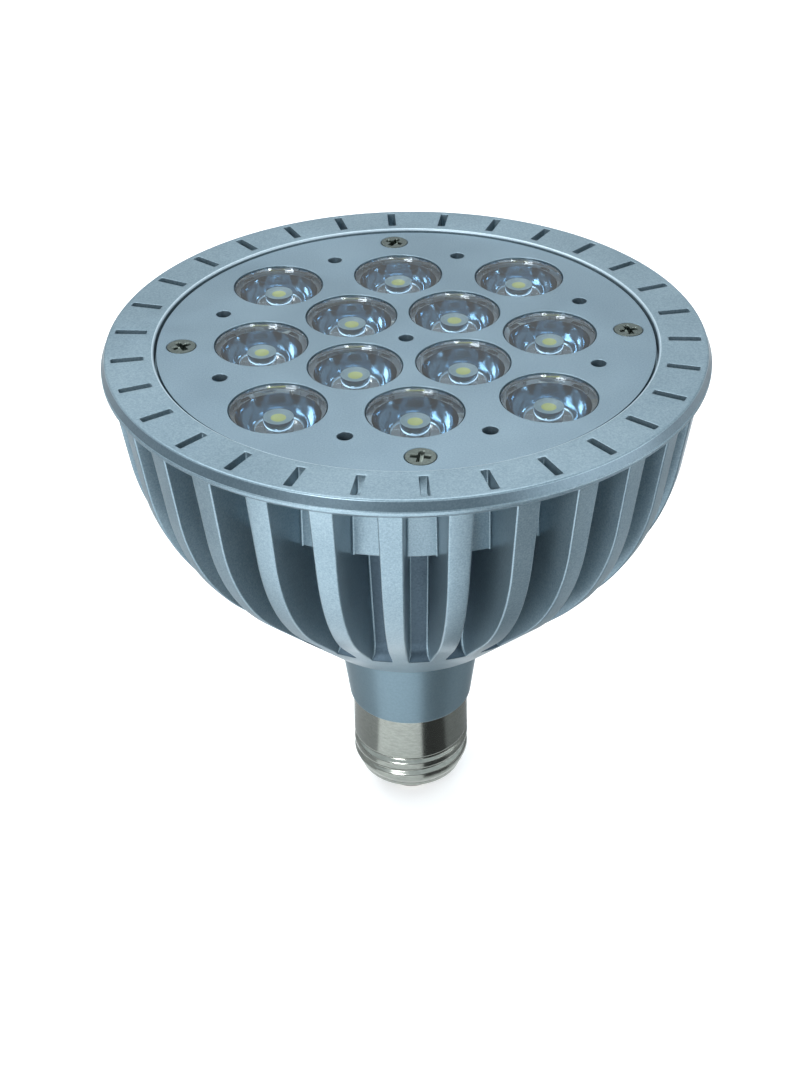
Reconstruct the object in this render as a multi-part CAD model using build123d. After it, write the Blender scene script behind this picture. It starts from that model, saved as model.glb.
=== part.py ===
from build123d import *
import os
from math import sqrt, tan, radians

# Twelve-lens LED reflector lamp with a finned cast heat sink and a 27 mm screw cap.
# Millimetres. +Z runs from the cap to the lens face, and the origin is the tip of the centre contact.

# Heights along the axis
CAP_HEIGHT = 27.5  # contact tip to the top edge of the screw shell
NECK_LENGTH = 19.3  # part of the neck that shows
SINK_HEIGHT = 71.7  # base of the heat sink to the top of its ring

# Patterns round the axis
FRONT = -90.0  # degrees
DIAGONAL = 45.0  # degrees
QUARTERS = 4

# Lenses and their pattern
LENS_R = 9.8
LENS_GAP = 1.67  # between the rims of neighbouring lenses
LENS_HEIGHT = 11.3  # flange face to the feet of the legs
LENS_FLANGE = 1.4
LENS_BODY_R = 8.2
LENS_TIP_R = 4.6
LENS_TIP_LIFT = 2.6  # lens tip above the board
LENS_POCKET_R = 2.9
LENS_POCKET_DEPTH = 5.5
LENS_PLAY = 0.1  # lens flange under the face plate
LENS_FACE_PLAY = 0.15  # raised face inside its hole in the plate
LENS_FACE_DROP = 0.3  # raised face below the plate's face
LEG_WIDTH = 2.4
LEG_THICK = 1.2
LEG_INSET = 0.2  # legs inside the flange's rim
LEG_COUNT = 4

# Light-emitting diodes
LED_SIZE = 4.0
LED_BODY = 0.9
PHOSPHOR_SIZE = 2.9
PHOSPHOR_THICK = 0.4

# Face plate
PLATE_THICK = 2.0
PLATE_DEPTH = 0.6  # plate face below the ring's top
PLATE_LEDGE = 3.45  # width of the seat under the plate's edge
PLATE_GAP = 0.5  # open line between plate and ring
LENS_LIP = 0.365  # plate overlap over each lens flange
SMALL_HOLE_R = 1.5
SMALL_HOLE_INSET = 7.2
SMALL_HOLE_SPREAD = 19.9  # degrees to each side of the cross axes

# Screws
SCREW_R = 1.5
SCREW_PLAY = 0.1
PLATE_SCREW_INSET = 1.5
PLATE_SCREW_LENGTH = 10.0
PLATE_HEAD_R = 3.0
CROSS_WIDTH = 0.9
CROSS_LENGTH = 3.8
CROSS_DEPTH = 1.2
BOSS_R = 3.8
BOARD_SCREW_LENGTH = 4.5
PAN_HEAD_R = 2.7
PAN_HEAD_THICK = 1.8
NECK_SCREW_LENGTH = 12.0
NECK_SCREW_COUNT = 3
NECK_SCREW_INSET = 5.5

# LED board and thermal pad
BOARD_THICK = 1.6
BOARD_PLAY = 0.6
PAD_THICK = 0.4
PAD_MARGIN = 1.0  # pad's edge inside the board screws

# Ring and vent slots
RING_THICK = 3.75
RING_INNER_LAND = 2.0
SLOT_LENGTH = 6.4
SLOT_WIDTH = 1.65
RING_OUTER_LAND = 2.15
BAND_HEIGHT = 2.0
BAND_SET_BACK = 0.4
RING_EDGE = 0.3
RING_BEVEL = 1.0  # under the flange

# Pan that holds the board and the lenses
LENS_WALL_GAP = 0.4
PAN_WALL = 1.5
PAN_FLOOR = 4.6
FLOOR_HOLE_R = 17.0

# Core, base and fins
CORE_TOP_INSET = 9.0  # core outside, set in from the pan's outside
CORE_TAPER = 8.5  # degrees
CORE_WALL = 3.0
CORE_FLARE = 5.0
GAP_FLOOR = 14.7  # floor between the fins, above the base
BASE_THICK = 4.0
BASE_HOLE_R = 6.0
COLLAR_STEP = 0.3  # collar's edge outside the neck
COLLAR_HEIGHT = 0.6
FOOT_WIDTH = 6.8
FOOT_RISE = 2.7
FOOT_ROUND = 8.0
KNEE_DROP = 35.2
KNEE_INSET = 5.6
KNEE_ROUND = 50.0
FIN_COUNT = 30
FIN_SET_BACK = 1.4
FIN_THICK = 4.6
FIN_DRAFT = 0.75  # degrees on each side

# Neck
NECK_STEP = 0.6  # neck's low end outside the shell
NECK_FLARE = 2.4  # neck's top outside its low end
NECK_ROUND = 0.8
NECK_WALL = 3.2
NECK_BOSS_R = 2.8
NECK_BOSS_HEIGHT = 13.0

# Screw cap
SHELL_R = 13.2
SHELL_WALL = 0.4
SHELL_COLLAR = 10.65
SHELL_LIP_R = 10.6
SHELL_LIP_HEIGHT = 6.5
THREAD_PITCH = 3.63
THREAD_TURNS = 2
THREAD_DEPTH = 0.95
THREAD_FLANK = 0.9
THREAD_ROOT = 0.7
SPIGOT_WALL = 2.0
SPIGOT_LIFT = 3.5  # spigot end above the shell's lip
CAP_PLAY = 0.1
INSULATOR_FLANGE = 1.0
INSULATOR_TIP_R = 5.6
CONTACT_R = 4.8
CONTACT_THICK = 1.6
CONTACT_EDGE = 0.7
CONTACT_SINK = 0.4  # depth of the contact's seat in the insulator
RIVET_R = 1.5

# Driver
SLEEVE_WALL = 0.8
SLEEVE_PLAY = 0.3
DRIVER_HEIGHT = 40.0
DRIVER_THICK = 1.6
DRIVER_PLAY = 0.2
TRANSFORMER_WIDTH = 14.0
TRANSFORMER_DEPTH = 11.0
TRANSFORMER_HEIGHT = 12.0
CORE_BAR = 4.5
CAN_R = 4.0
CAN_LENGTH = 12.0
CAN_EDGE = 0.6
CHOKE_R = 4.0
CHOKE_DEPTH = 8.0
CHOKE_WAIST_R = 2.9
CHOKE_FLANGE = 1.5
BRIDGE_WIDTH = 6.5
BRIDGE_DEPTH = 2.5
BRIDGE_HEIGHT = 5.0
FUSE_R = 1.75
FUSE_LENGTH = 8.0
LEAD_R = 0.7
LEAD_PLAY = 0.1
LEAD_SPREAD = 4.0
LEAD_OVERLAP = 6.0  # length of lead that lies along the driver board
BOARD_LEAD_SPREAD = 1.8

# Heights worked out from the stack
SINK_BASE = CAP_HEIGHT + NECK_LENGTH
RING_TOP = SINK_BASE + SINK_HEIGHT
RING_UNDER = RING_TOP - RING_THICK
PLATE_TOP = RING_TOP - PLATE_DEPTH
PLATE_SEAT = PLATE_TOP - PLATE_THICK
LENS_TOP = PLATE_SEAT - LENS_PLAY
BOARD_TOP = LENS_TOP - LENS_HEIGHT
BOARD_BASE = BOARD_TOP - BOARD_THICK
FLOOR_TOP = BOARD_BASE - PAD_THICK
PAN_UNDER = FLOOR_TOP - PAN_FLOOR
BASE_TOP = SINK_BASE + BASE_THICK

# Radii worked out from the lens pattern
LENS_STEP = 2 * LENS_R + LENS_GAP
INNER_LENS_PITCH = LENS_STEP / sqrt(2)
DIAGONAL_LENS_PITCH = INNER_LENS_PITCH + LENS_STEP
CROSS_LENS_PITCH = LENS_STEP / 2 + LENS_STEP * sqrt(3) / 2
LENS_HOLE_R = LENS_R - LENS_LIP
PAN_INNER_R = DIAGONAL_LENS_PITCH + LENS_R + LENS_WALL_GAP
PAN_R = PAN_INNER_R + PAN_WALL
PLATE_R = PAN_INNER_R + PLATE_LEDGE
RECESS_R = PLATE_R + PLATE_GAP
SLOT_PITCH = RECESS_R + RING_INNER_LAND + SLOT_LENGTH / 2
RING_R = SLOT_PITCH + SLOT_LENGTH / 2 + RING_OUTER_LAND
PLATE_SCREW_PITCH = PAN_INNER_R - PLATE_SCREW_INSET
SMALL_HOLE_PITCH = PAN_INNER_R - SMALL_HOLE_INSET
BOARD_R = PAN_INNER_R - BOARD_PLAY
PAD_R = SMALL_HOLE_PITCH - SCREW_R - PAD_MARGIN

# Core, neck and cap sizes that follow from their neighbours
CORE_TOP_R = PAN_R - CORE_TOP_INSET
FLOOR_Z = SINK_BASE + GAP_FLOOR
CORE_SHRINK = tan(radians(CORE_TAPER))
CORE_FOOT_R = CORE_TOP_R - (PAN_UNDER - FLOOR_Z) * CORE_SHRINK
FIN_TOP_R = RING_R - FIN_SET_BACK
KNEE_R = RING_R - KNEE_INSET
KNEE_Z = RING_TOP - KNEE_DROP
NECK_LOW_R = SHELL_R + NECK_STEP
NECK_TOP_R = NECK_LOW_R + NECK_FLARE
COLLAR_R = NECK_TOP_R + COLLAR_STEP
FOOT_R = COLLAR_R + FOOT_WIDTH
FOOT_Z = SINK_BASE + COLLAR_HEIGHT + FOOT_RISE
SLEEVE_R = FLOOR_HOLE_R - SLEEVE_PLAY
SLEEVE_INNER_R = SLEEVE_R - SLEEVE_WALL
NECK_BORE_R = NECK_TOP_R - NECK_WALL
NECK_SCREW_PITCH = NECK_TOP_R - NECK_SCREW_INSET
SHELL_ROOT_R = SHELL_R - THREAD_DEPTH
THREAD_TOP = CAP_HEIGHT - SHELL_COLLAR
SHELL_INNER_R = SHELL_ROOT_R - SHELL_WALL
SPIGOT_R = SHELL_INNER_R - CAP_PLAY
SPIGOT_END = SHELL_LIP_HEIGHT + SPIGOT_LIFT
DRIVER_WIDTH = 2 * (sqrt(SLEEVE_INNER_R**2 - (DRIVER_THICK / 2) ** 2) - DRIVER_PLAY)
DRIVER_FACE = DRIVER_THICK / 2
DRIVER_TOP = BASE_TOP + DRIVER_HEIGHT

BASE_UP = (Align.CENTER, Align.CENTER, Align.MIN)
TOP_DOWN = (Align.CENTER, Align.CENTER, Align.MAX)


def turned(points, radii=None):
    """Solid of revolution about Z from an outline of (radius, height) points."""
    corner = radii or {}
    bends = [corner.get(index, 0) for index in range(len(points))]
    outline = FilletPolyline(*points, radius=bends, close=True) if radii else Polyline(*points, close=True)
    return revolve(Plane.XZ * make_face(outline), Axis.Z)


def disc(radius, low, high):
    """Upright cylinder on the axis between two heights."""
    return Pos(0, 0, low) * Cylinder(radius, high - low, align=BASE_UP)


def round_pattern(radius, count, start=0.0):
    """Places spaced evenly round the axis, each turned to face outwards."""
    return [Rot(0, 0, start + index * 360 / count) * Pos(radius, 0, 0) for index in range(count)]


def lens_places():
    """Twelve lens centres: an inner square, four on the cross axes and four on the diagonals."""
    inner = round_pattern(INNER_LENS_PITCH, QUARTERS, DIAGONAL)
    cross = round_pattern(CROSS_LENS_PITCH, QUARTERS)
    diagonal = round_pattern(DIAGONAL_LENS_PITCH, QUARTERS, DIAGONAL)
    return [Pos(*place.position) for place in inner + cross + diagonal]


def small_hole_places():
    """Eight places, a pair beside each cross axis."""
    left = round_pattern(SMALL_HOLE_PITCH, QUARTERS, SMALL_HOLE_SPREAD)
    right = round_pattern(SMALL_HOLE_PITCH, QUARTERS, -SMALL_HOLE_SPREAD)
    return left + right


def plate_screw_places():
    """Four places on the cross axes."""
    return round_pattern(PLATE_SCREW_PITCH, QUARTERS)


def neck_screw_places():
    """Places of the screws between heat sink and neck, clear of the driver board."""
    return round_pattern(NECK_SCREW_PITCH, NECK_SCREW_COUNT, -FRONT)


def fin_envelope():
    """Bowl that the outer edges of the fins lie on, down to the collar at the base."""
    outline = [
        (0, SINK_BASE),
        (COLLAR_R, SINK_BASE),
        (COLLAR_R, SINK_BASE + COLLAR_HEIGHT),
        (FOOT_R, FOOT_Z),
        (KNEE_R, KNEE_Z),
        (FIN_TOP_R, RING_UNDER),
        (0, RING_UNDER),
    ]
    return turned(outline, {3: FOOT_ROUND, 4: KNEE_ROUND})


def core_body():
    """Tapered core under the pan, flared at its foot where the gaps between the fins end."""
    outline = [
        (0, SINK_BASE),
        (PAN_R, SINK_BASE),
        (PAN_R, FLOOR_Z),
        (CORE_FOOT_R, FLOOR_Z),
        (CORE_TOP_R, PAN_UNDER),
        (0, PAN_UNDER),
    ]
    return turned(outline, {3: CORE_FLARE})


def core_hollow():
    """Driver space inside the core, one wall in from the core's outside."""
    inner_foot_r = CORE_FOOT_R - CORE_WALL
    outline = [
        (0, BASE_TOP),
        (FOOT_R - CORE_WALL / 2, BASE_TOP),
        (inner_foot_r, FLOOR_Z + CORE_WALL),
        (CORE_TOP_R - CORE_WALL, PAN_UNDER),
        (0, PAN_UNDER),
    ]
    return turned(outline)


def fin():
    """One fin on the +X side, drafted towards the base and not yet trimmed to the bowl."""
    height = RING_UNDER - SINK_BASE
    half_top = FIN_THICK / 2
    half_low = half_top - height * tan(radians(FIN_DRAFT))
    section = Polyline(
        (-half_top, RING_UNDER),
        (half_top, RING_UNDER),
        (half_low, SINK_BASE),
        (-half_low, SINK_BASE),
        close=True,
    )
    root = CORE_FOOT_R - CORE_WALL / 2
    return Pos(root, 0, 0) * extrude(Plane.YZ * make_face(section), RING_R - root)


def ring():
    """Slotted ring with a set-back band above its flange and a bevel under it."""
    band_r = RING_R - BAND_SET_BACK
    flange_top = RING_TOP - BAND_HEIGHT
    outline = [
        (0, RING_UNDER),
        (RING_R - RING_BEVEL, RING_UNDER),
        (RING_R, RING_UNDER + RING_BEVEL),
        (RING_R, flange_top),
        (band_r, flange_top),
        (band_r, RING_TOP - RING_EDGE),
        (band_r - RING_EDGE, RING_TOP),
        (0, RING_TOP),
    ]
    slot = Pos(0, 0, RING_UNDER) * Box(SLOT_LENGTH, SLOT_WIDTH, RING_THICK, align=BASE_UP)
    slots = [place * slot for place in round_pattern(SLOT_PITCH, FIN_COUNT, FRONT)]
    return turned(outline) - slots


def heat_sink():
    """The casting: ring, pan, core and base, with a fin midway between each two slots."""
    one_fin = fin()
    half_step = 180 / FIN_COUNT
    fins = [place * one_fin for place in round_pattern(0, FIN_COUNT, FRONT + half_step)]
    body = (core_body() + fins) & fin_envelope()
    body = body + disc(PAN_R, PAN_UNDER, RING_UNDER) + ring()
    bosses = [place * disc(BOSS_R, FLOOR_TOP, PLATE_SEAT) for place in plate_screw_places()]
    pilot_r = SCREW_R + SCREW_PLAY / 2
    plate_pilot = disc(pilot_r, PLATE_TOP - PLATE_SCREW_LENGTH, PLATE_SEAT)
    board_pilot = disc(pilot_r, BOARD_TOP - BOARD_SCREW_LENGTH, FLOOR_TOP)
    neck_hole = disc(SCREW_R + SCREW_PLAY, SINK_BASE, BASE_TOP)
    cuts = [
        disc(PAN_INNER_R, FLOOR_TOP, PLATE_SEAT) - bosses,
        disc(RECESS_R, PLATE_SEAT, RING_TOP),
        core_hollow(),
        disc(FLOOR_HOLE_R, PAN_UNDER, FLOOR_TOP),
        disc(BASE_HOLE_R, SINK_BASE, BASE_TOP),
    ]
    cuts += [place * plate_pilot for place in plate_screw_places()]
    cuts += [place * board_pilot for place in small_hole_places()]
    cuts += [place * neck_hole for place in neck_screw_places()]
    return body - cuts


def countersink(play):
    """Head cone and shank below the plate's face, larger all round by the play."""
    head_r = PLATE_HEAD_R + play
    shank_r = SCREW_R + play
    outline = [
        (0, PLATE_TOP - PLATE_SCREW_LENGTH),
        (shank_r, PLATE_TOP - PLATE_SCREW_LENGTH),
        (shank_r, PLATE_TOP - (head_r - shank_r)),
        (head_r, PLATE_TOP),
        (0, PLATE_TOP),
    ]
    return turned(outline)


def face_plate():
    """Disc with lens holes, small holes and countersunk screw holes."""
    lens_hole = disc(LENS_HOLE_R, PLATE_SEAT, PLATE_TOP)
    small_hole = disc(SMALL_HOLE_R, PLATE_SEAT, PLATE_TOP)
    holes = [place * lens_hole for place in lens_places()]
    holes += [place * small_hole for place in small_hole_places()]
    holes += [small_hole]
    holes += [place * countersink(SCREW_PLAY) for place in plate_screw_places()]
    return disc(PLATE_R, PLATE_SEAT, PLATE_TOP) - holes


def plate_screw():
    """Countersunk screw with a cross recess."""
    bar = Box(CROSS_LENGTH, CROSS_WIDTH, CROSS_DEPTH, align=TOP_DOWN)
    cross = bar + Rot(0, 0, 90) * bar
    return countersink(0) - Pos(0, 0, PLATE_TOP) * cross


def pan_screw(seat, length):
    """Flat-headed screw with its head on a seat and its shank below."""
    head = disc(PAN_HEAD_R, seat, seat + PAN_HEAD_THICK)
    return head + disc(SCREW_R, seat - length, seat)


def lens():
    """Collimator lens: raised face, flange, tapered body with a pocket over the LED, and legs."""
    face_r = LENS_HOLE_R - LENS_FACE_PLAY
    face_top = PLATE_TOP - LENS_FACE_DROP
    flange_base = LENS_TOP - LENS_FLANGE
    tip = BOARD_TOP + LENS_TIP_LIFT
    body = turned([
        (0, tip + LENS_POCKET_DEPTH),
        (LENS_POCKET_R, tip + LENS_POCKET_DEPTH),
        (LENS_POCKET_R, tip),
        (LENS_TIP_R, tip),
        (LENS_BODY_R, flange_base),
        (LENS_R, flange_base),
        (LENS_R, LENS_TOP),
        (face_r, LENS_TOP),
        (face_r, face_top),
        (0, face_top),
    ])
    leg_height = flange_base - BOARD_TOP
    leg = Pos(0, 0, BOARD_TOP) * Box(LEG_THICK, LEG_WIDTH, leg_height, align=BASE_UP)
    leg_pitch = LENS_R - LEG_INSET - LEG_THICK / 2
    legs = [place * leg for place in round_pattern(leg_pitch, LEG_COUNT, DIAGONAL)]
    return body + legs


def led():
    """Square emitter with a raised phosphor face."""
    body = Pos(0, 0, BOARD_TOP) * Box(LED_SIZE, LED_SIZE, LED_BODY, align=BASE_UP)
    face = Pos(0, 0, BOARD_TOP + LED_BODY) * Box(PHOSPHOR_SIZE, PHOSPHOR_SIZE, PHOSPHOR_THICK, align=BASE_UP)
    return body + face


def lead_side_places():
    """Places of the two output leads in the middle of the LED board."""
    return [Pos(side * BOARD_LEAD_SPREAD, 0, 0) for side in (1, -1)]


def led_board():
    """Round board, notched round the screw bosses."""
    notches = [place * disc(BOSS_R + BOARD_PLAY, BOARD_BASE, BOARD_TOP) for place in plate_screw_places()]
    screw_holes = [place * disc(SCREW_R + SCREW_PLAY, BOARD_BASE, BOARD_TOP) for place in small_hole_places()]
    lead_holes = [place * disc(LEAD_R + LEAD_PLAY, BOARD_BASE, BOARD_TOP) for place in lead_side_places()]
    return disc(BOARD_R, BOARD_BASE, BOARD_TOP) - notches - screw_holes - lead_holes


def thermal_pad():
    """Thin pad under the board, inside the ring of screws and open over the driver space."""
    return disc(PAD_R, FLOOR_TOP, BOARD_BASE) - disc(FLOOR_HOLE_R, FLOOR_TOP, BOARD_BASE)


def neck():
    """Tapered neck with a spigot inside the shell and bosses for the screws above."""
    spigot_inner_r = SPIGOT_R - SPIGOT_WALL
    bore_base = CAP_HEIGHT + NECK_WALL
    outline = [
        (spigot_inner_r, SPIGOT_END),
        (SPIGOT_R, SPIGOT_END),
        (SPIGOT_R, CAP_HEIGHT),
        (NECK_LOW_R, CAP_HEIGHT),
        (NECK_TOP_R, SINK_BASE),
        (NECK_BORE_R, SINK_BASE),
        (NECK_BORE_R, bore_base + NECK_WALL),
        (spigot_inner_r, bore_base),
    ]
    body = turned(outline, {3: NECK_ROUND})
    boss_base = SINK_BASE - NECK_BOSS_HEIGHT
    reach = disc(NECK_BORE_R, boss_base, SINK_BASE)
    bosses = [(place * disc(NECK_BOSS_R, boss_base, SINK_BASE)) & reach for place in neck_screw_places()]
    pilot_base = BASE_TOP - NECK_SCREW_LENGTH
    pilot_r = SCREW_R + SCREW_PLAY / 2
    pilots = [place * disc(pilot_r, pilot_base, SINK_BASE) for place in neck_screw_places()]
    return body + bosses - pilots


def screw_shell():
    """Cap shell: plain collar, coarse rounded thread and an end turned inwards."""
    wave = []
    for turn in range(THREAD_TURNS):
        start = THREAD_TOP - turn * THREAD_PITCH
        wave += [
            (SHELL_R, start),
            (SHELL_ROOT_R, start - THREAD_FLANK),
            (SHELL_ROOT_R, start - THREAD_FLANK - THREAD_ROOT),
            (SHELL_R, start - 2 * THREAD_FLANK - THREAD_ROOT),
        ]
    thread_end = THREAD_TOP - THREAD_TURNS * THREAD_PITCH
    outline = [(SHELL_INNER_R, CAP_HEIGHT), (SHELL_R, CAP_HEIGHT)] + wave
    outline += [
        (SHELL_R, thread_end),
        (SHELL_LIP_R + SHELL_WALL, SHELL_LIP_HEIGHT),
        (SHELL_LIP_R, SHELL_LIP_HEIGHT),
        (SHELL_LIP_R, SHELL_LIP_HEIGHT + SHELL_WALL),
        (SHELL_INNER_R, SHELL_LIP_HEIGHT + 2 * SHELL_WALL),
    ]
    return turned(outline)


def cap_insulator():
    """Insulating cone at the cap's end, flanged inside the shell and seated for the contact."""
    flange_base = SHELL_LIP_HEIGHT + 2 * SHELL_WALL
    seat = CONTACT_THICK - CONTACT_SINK
    rivet_hole = RIVET_R + CAP_PLAY
    return turned([
        (rivet_hole, CONTACT_THICK),
        (CONTACT_R + CAP_PLAY, CONTACT_THICK),
        (CONTACT_R + CAP_PLAY, seat),
        (INSULATOR_TIP_R, seat),
        (SHELL_LIP_R - CAP_PLAY, SHELL_LIP_HEIGHT),
        (SHELL_LIP_R - CAP_PLAY, flange_base),
        (SHELL_INNER_R - CAP_PLAY, flange_base),
        (SHELL_INNER_R - CAP_PLAY, flange_base + INSULATOR_FLANGE),
        (rivet_hole, flange_base + INSULATOR_FLANGE),
    ])


def rivet_top():
    """Height of the contact's rivet above the insulator."""
    return SHELL_LIP_HEIGHT + 2 * SHELL_WALL + INSULATOR_FLANGE + RIVET_R


def centre_contact():
    """Contact disc with a bevelled edge and a rivet through the insulator."""
    return turned([
        (0, 0),
        (CONTACT_R - CONTACT_EDGE, 0),
        (CONTACT_R, CONTACT_EDGE),
        (CONTACT_R, CONTACT_THICK),
        (RIVET_R, CONTACT_THICK),
        (RIVET_R, rivet_top()),
        (0, rivet_top()),
    ])


def insulating_sleeve():
    """Tube round the driver, from the base to just under the LED board."""
    return disc(SLEEVE_R, BASE_TOP, FLOOR_TOP) - disc(SLEEVE_INNER_R, BASE_TOP, FLOOR_TOP)


def driver_board():
    """Upright board across the sleeve."""
    return Pos(0, 0, BASE_TOP) * Box(DRIVER_WIDTH, DRIVER_THICK, DRIVER_HEIGHT, align=BASE_UP)


def standing_can(x, face, side, low):
    """Capacitor can lying along the board, on the front (-1) or back (1) face."""
    can = Pos(x, face + side * CAN_R, low) * Cylinder(CAN_R, CAN_LENGTH, align=BASE_UP)
    return chamfer(can.edges().group_by(Axis.Z)[-1], CAN_EDGE)


def transformer():
    """Ferrite bar round a square winding, on the front of the board."""
    low = DRIVER_TOP - TRANSFORMER_HEIGHT - CAN_R
    middle = -DRIVER_FACE - TRANSFORMER_DEPTH / 2
    ferrite = Pos(0, middle, low) * Box(TRANSFORMER_WIDTH, CORE_BAR, TRANSFORMER_HEIGHT, align=BASE_UP)
    inset = (TRANSFORMER_HEIGHT - 2 * CORE_BAR) / 2
    width = TRANSFORMER_WIDTH - 2 * inset
    winding_low = low + inset
    winding_height = TRANSFORMER_HEIGHT - 2 * inset
    winding = Pos(0, middle, winding_low) * Box(width, TRANSFORMER_DEPTH, winding_height, align=BASE_UP)
    return ferrite + winding


def input_capacitor():
    """Mains-side can on the front of the board."""
    return standing_can(-DRIVER_WIDTH / 4, -DRIVER_FACE, -1, BASE_TOP + FUSE_LENGTH)


def output_capacitor():
    """Lamp-side can on the back of the board."""
    return standing_can(0, DRIVER_FACE, 1, DRIVER_TOP - 2 * CAN_LENGTH)


def choke():
    """Drum core with its axis square to the board."""
    waist = CHOKE_DEPTH - CHOKE_FLANGE
    drum = turned([
        (0, 0),
        (CHOKE_R, 0),
        (CHOKE_R, CHOKE_FLANGE),
        (CHOKE_WAIST_R, CHOKE_FLANGE),
        (CHOKE_WAIST_R, waist),
        (CHOKE_R, waist),
        (CHOKE_R, CHOKE_DEPTH),
        (0, CHOKE_DEPTH),
    ])
    place = Pos(DRIVER_WIDTH / 4, -DRIVER_FACE, BASE_TOP + FUSE_LENGTH + CAN_LENGTH / 2)
    return place * Rot(90, 0, 0) * drum


def bridge_rectifier():
    """Flat block beside the mains leads, on the front of the board."""
    place = Pos(DRIVER_WIDTH / 4, -DRIVER_FACE - BRIDGE_DEPTH / 2, BASE_TOP + BRIDGE_HEIGHT / 2)
    return place * Box(BRIDGE_WIDTH, BRIDGE_DEPTH, BRIDGE_HEIGHT, align=BASE_UP)


def fuse_resistor():
    """Small resistor lying across the board beside the rectifier."""
    place = Pos(-DRIVER_WIDTH / 4, -DRIVER_FACE - FUSE_R, BASE_TOP + FUSE_LENGTH / 2)
    return place * Rot(0, 90, 0) * Cylinder(FUSE_R, FUSE_LENGTH)


def lead(points):
    """Insulated wire along straight runs."""
    path = Polyline(*points)
    section = Plane(origin=path @ 0, z_dir=path % 0) * Circle(LEAD_R)
    return sweep(section, path=path, transition=Transition.RIGHT)


def live_lead():
    """Wire from the contact's rivet up the neck to the back of the driver board."""
    beside = DRIVER_FACE + LEAD_R
    return lead([
        (0, 0, rivet_top()),
        (0, 0, CAP_HEIGHT),
        (LEAD_SPREAD, beside, SINK_BASE),
        (LEAD_SPREAD, beside, BASE_TOP + LEAD_OVERLAP),
    ])


def neutral_lead():
    """Wire from the shell's wall under the spigot up the neck to the back of the driver board."""
    beside = DRIVER_FACE + LEAD_R
    level = (SPIGOT_END + SHELL_LIP_HEIGHT + 2 * SHELL_WALL + INSULATOR_FLANGE) / 2
    return lead([
        (-SHELL_INNER_R + CAP_PLAY, 0, level),
        (-LEAD_SPREAD, 0, SPIGOT_END),
        (-LEAD_SPREAD, beside, SINK_BASE),
        (-LEAD_SPREAD, beside, BASE_TOP + LEAD_OVERLAP),
    ])


def output_lead(side):
    """Wire from the top of the driver board through the middle of the LED board."""
    beside = DRIVER_FACE + LEAD_R
    spread = side * (CAN_R + 2 * LEAD_R)
    rise = (FLOOR_TOP - DRIVER_TOP) / 3
    return lead([
        (spread, beside, DRIVER_TOP - LEAD_OVERLAP),
        (spread, beside, DRIVER_TOP + rise),
        (side * BOARD_LEAD_SPREAD, 0, DRIVER_TOP + 2 * rise),
        (side * BOARD_LEAD_SPREAD, 0, BOARD_TOP + LEAD_R),
    ])


def main():
    """Build every node and write one file for each."""
    os.makedirs("parts", exist_ok=True)
    plate_screws = [place * plate_screw() for place in plate_screw_places()]
    board_screw = pan_screw(BOARD_TOP, BOARD_SCREW_LENGTH)
    neck_screw = pan_screw(BASE_TOP, NECK_SCREW_LENGTH)
    nodes = {
        "heat_sink": heat_sink(),
        "face_plate": face_plate(),
        "face_plate_screws": Compound(children=plate_screws),
        "led_board": led_board(),
        "led_board_screws": Compound(children=[place * board_screw for place in small_hole_places()]),
        "thermal_pad": thermal_pad(),
        "neck": neck(),
        "neck_screws": Compound(children=[place * neck_screw for place in neck_screw_places()]),
        "screw_shell": screw_shell(),
        "cap_insulator": cap_insulator(),
        "centre_contact": centre_contact(),
        "insulating_sleeve": insulating_sleeve(),
        "driver_board": driver_board(),
        "transformer": transformer(),
        "input_capacitor": input_capacitor(),
        "output_capacitor": output_capacitor(),
        "choke": choke(),
        "bridge_rectifier": bridge_rectifier(),
        "fuse_resistor": fuse_resistor(),
        "live_lead": live_lead(),
        "neutral_lead": neutral_lead(),
        "positive_lead": output_lead(1),
        "negative_lead": output_lead(-1),
    }
    for number, place in enumerate(lens_places(), start=1):
        nodes[f"lens_{number:02d}"] = place * lens()
        nodes[f"led_{number:02d}"] = place * led()
    for name, shape in nodes.items():
        export_step(shape, f"parts/{name}.step")


main()
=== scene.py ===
"""Twelve-lens reflector lamp: finned cast heat sink, clear lenses, silver neck and screw cap.

Sizes are in millimetres until a mesh is made. The lamp's axis is Z, with the tip of its contact at zero.
"""

import logging
import math
from dataclasses import dataclass
from enum import Enum

import bpy
import numpy as np
from mathutils import Matrix, Vector
from mathutils.geometry import delaunay_2d_cdt

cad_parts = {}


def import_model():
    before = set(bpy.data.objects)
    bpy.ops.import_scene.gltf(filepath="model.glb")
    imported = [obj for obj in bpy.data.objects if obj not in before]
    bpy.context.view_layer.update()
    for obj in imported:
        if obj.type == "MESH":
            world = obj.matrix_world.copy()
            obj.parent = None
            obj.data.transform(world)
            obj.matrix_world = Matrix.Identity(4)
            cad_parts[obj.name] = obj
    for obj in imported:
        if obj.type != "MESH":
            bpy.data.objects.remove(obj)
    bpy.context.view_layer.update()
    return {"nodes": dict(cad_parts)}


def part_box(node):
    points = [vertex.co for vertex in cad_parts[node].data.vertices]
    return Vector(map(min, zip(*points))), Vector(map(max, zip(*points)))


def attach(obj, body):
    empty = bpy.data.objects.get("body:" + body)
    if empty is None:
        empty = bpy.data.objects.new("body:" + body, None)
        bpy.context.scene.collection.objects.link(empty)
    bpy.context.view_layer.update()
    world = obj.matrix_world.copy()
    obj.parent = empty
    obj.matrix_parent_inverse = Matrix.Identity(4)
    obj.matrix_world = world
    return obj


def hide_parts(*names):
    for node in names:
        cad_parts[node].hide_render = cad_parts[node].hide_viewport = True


LOG = logging.getLogger("lamp")
MM = 0.001
WELD_GAP = 1e-4  # points closer than this are one point
SHARP_EDGE = 40.0  # degrees between two faces from which their edge stays sharp
ROUND_STEPS = 240  # facets of the large turned surfaces
LENS_COUNT = 12
FRONT = -90.0  # degrees
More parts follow.
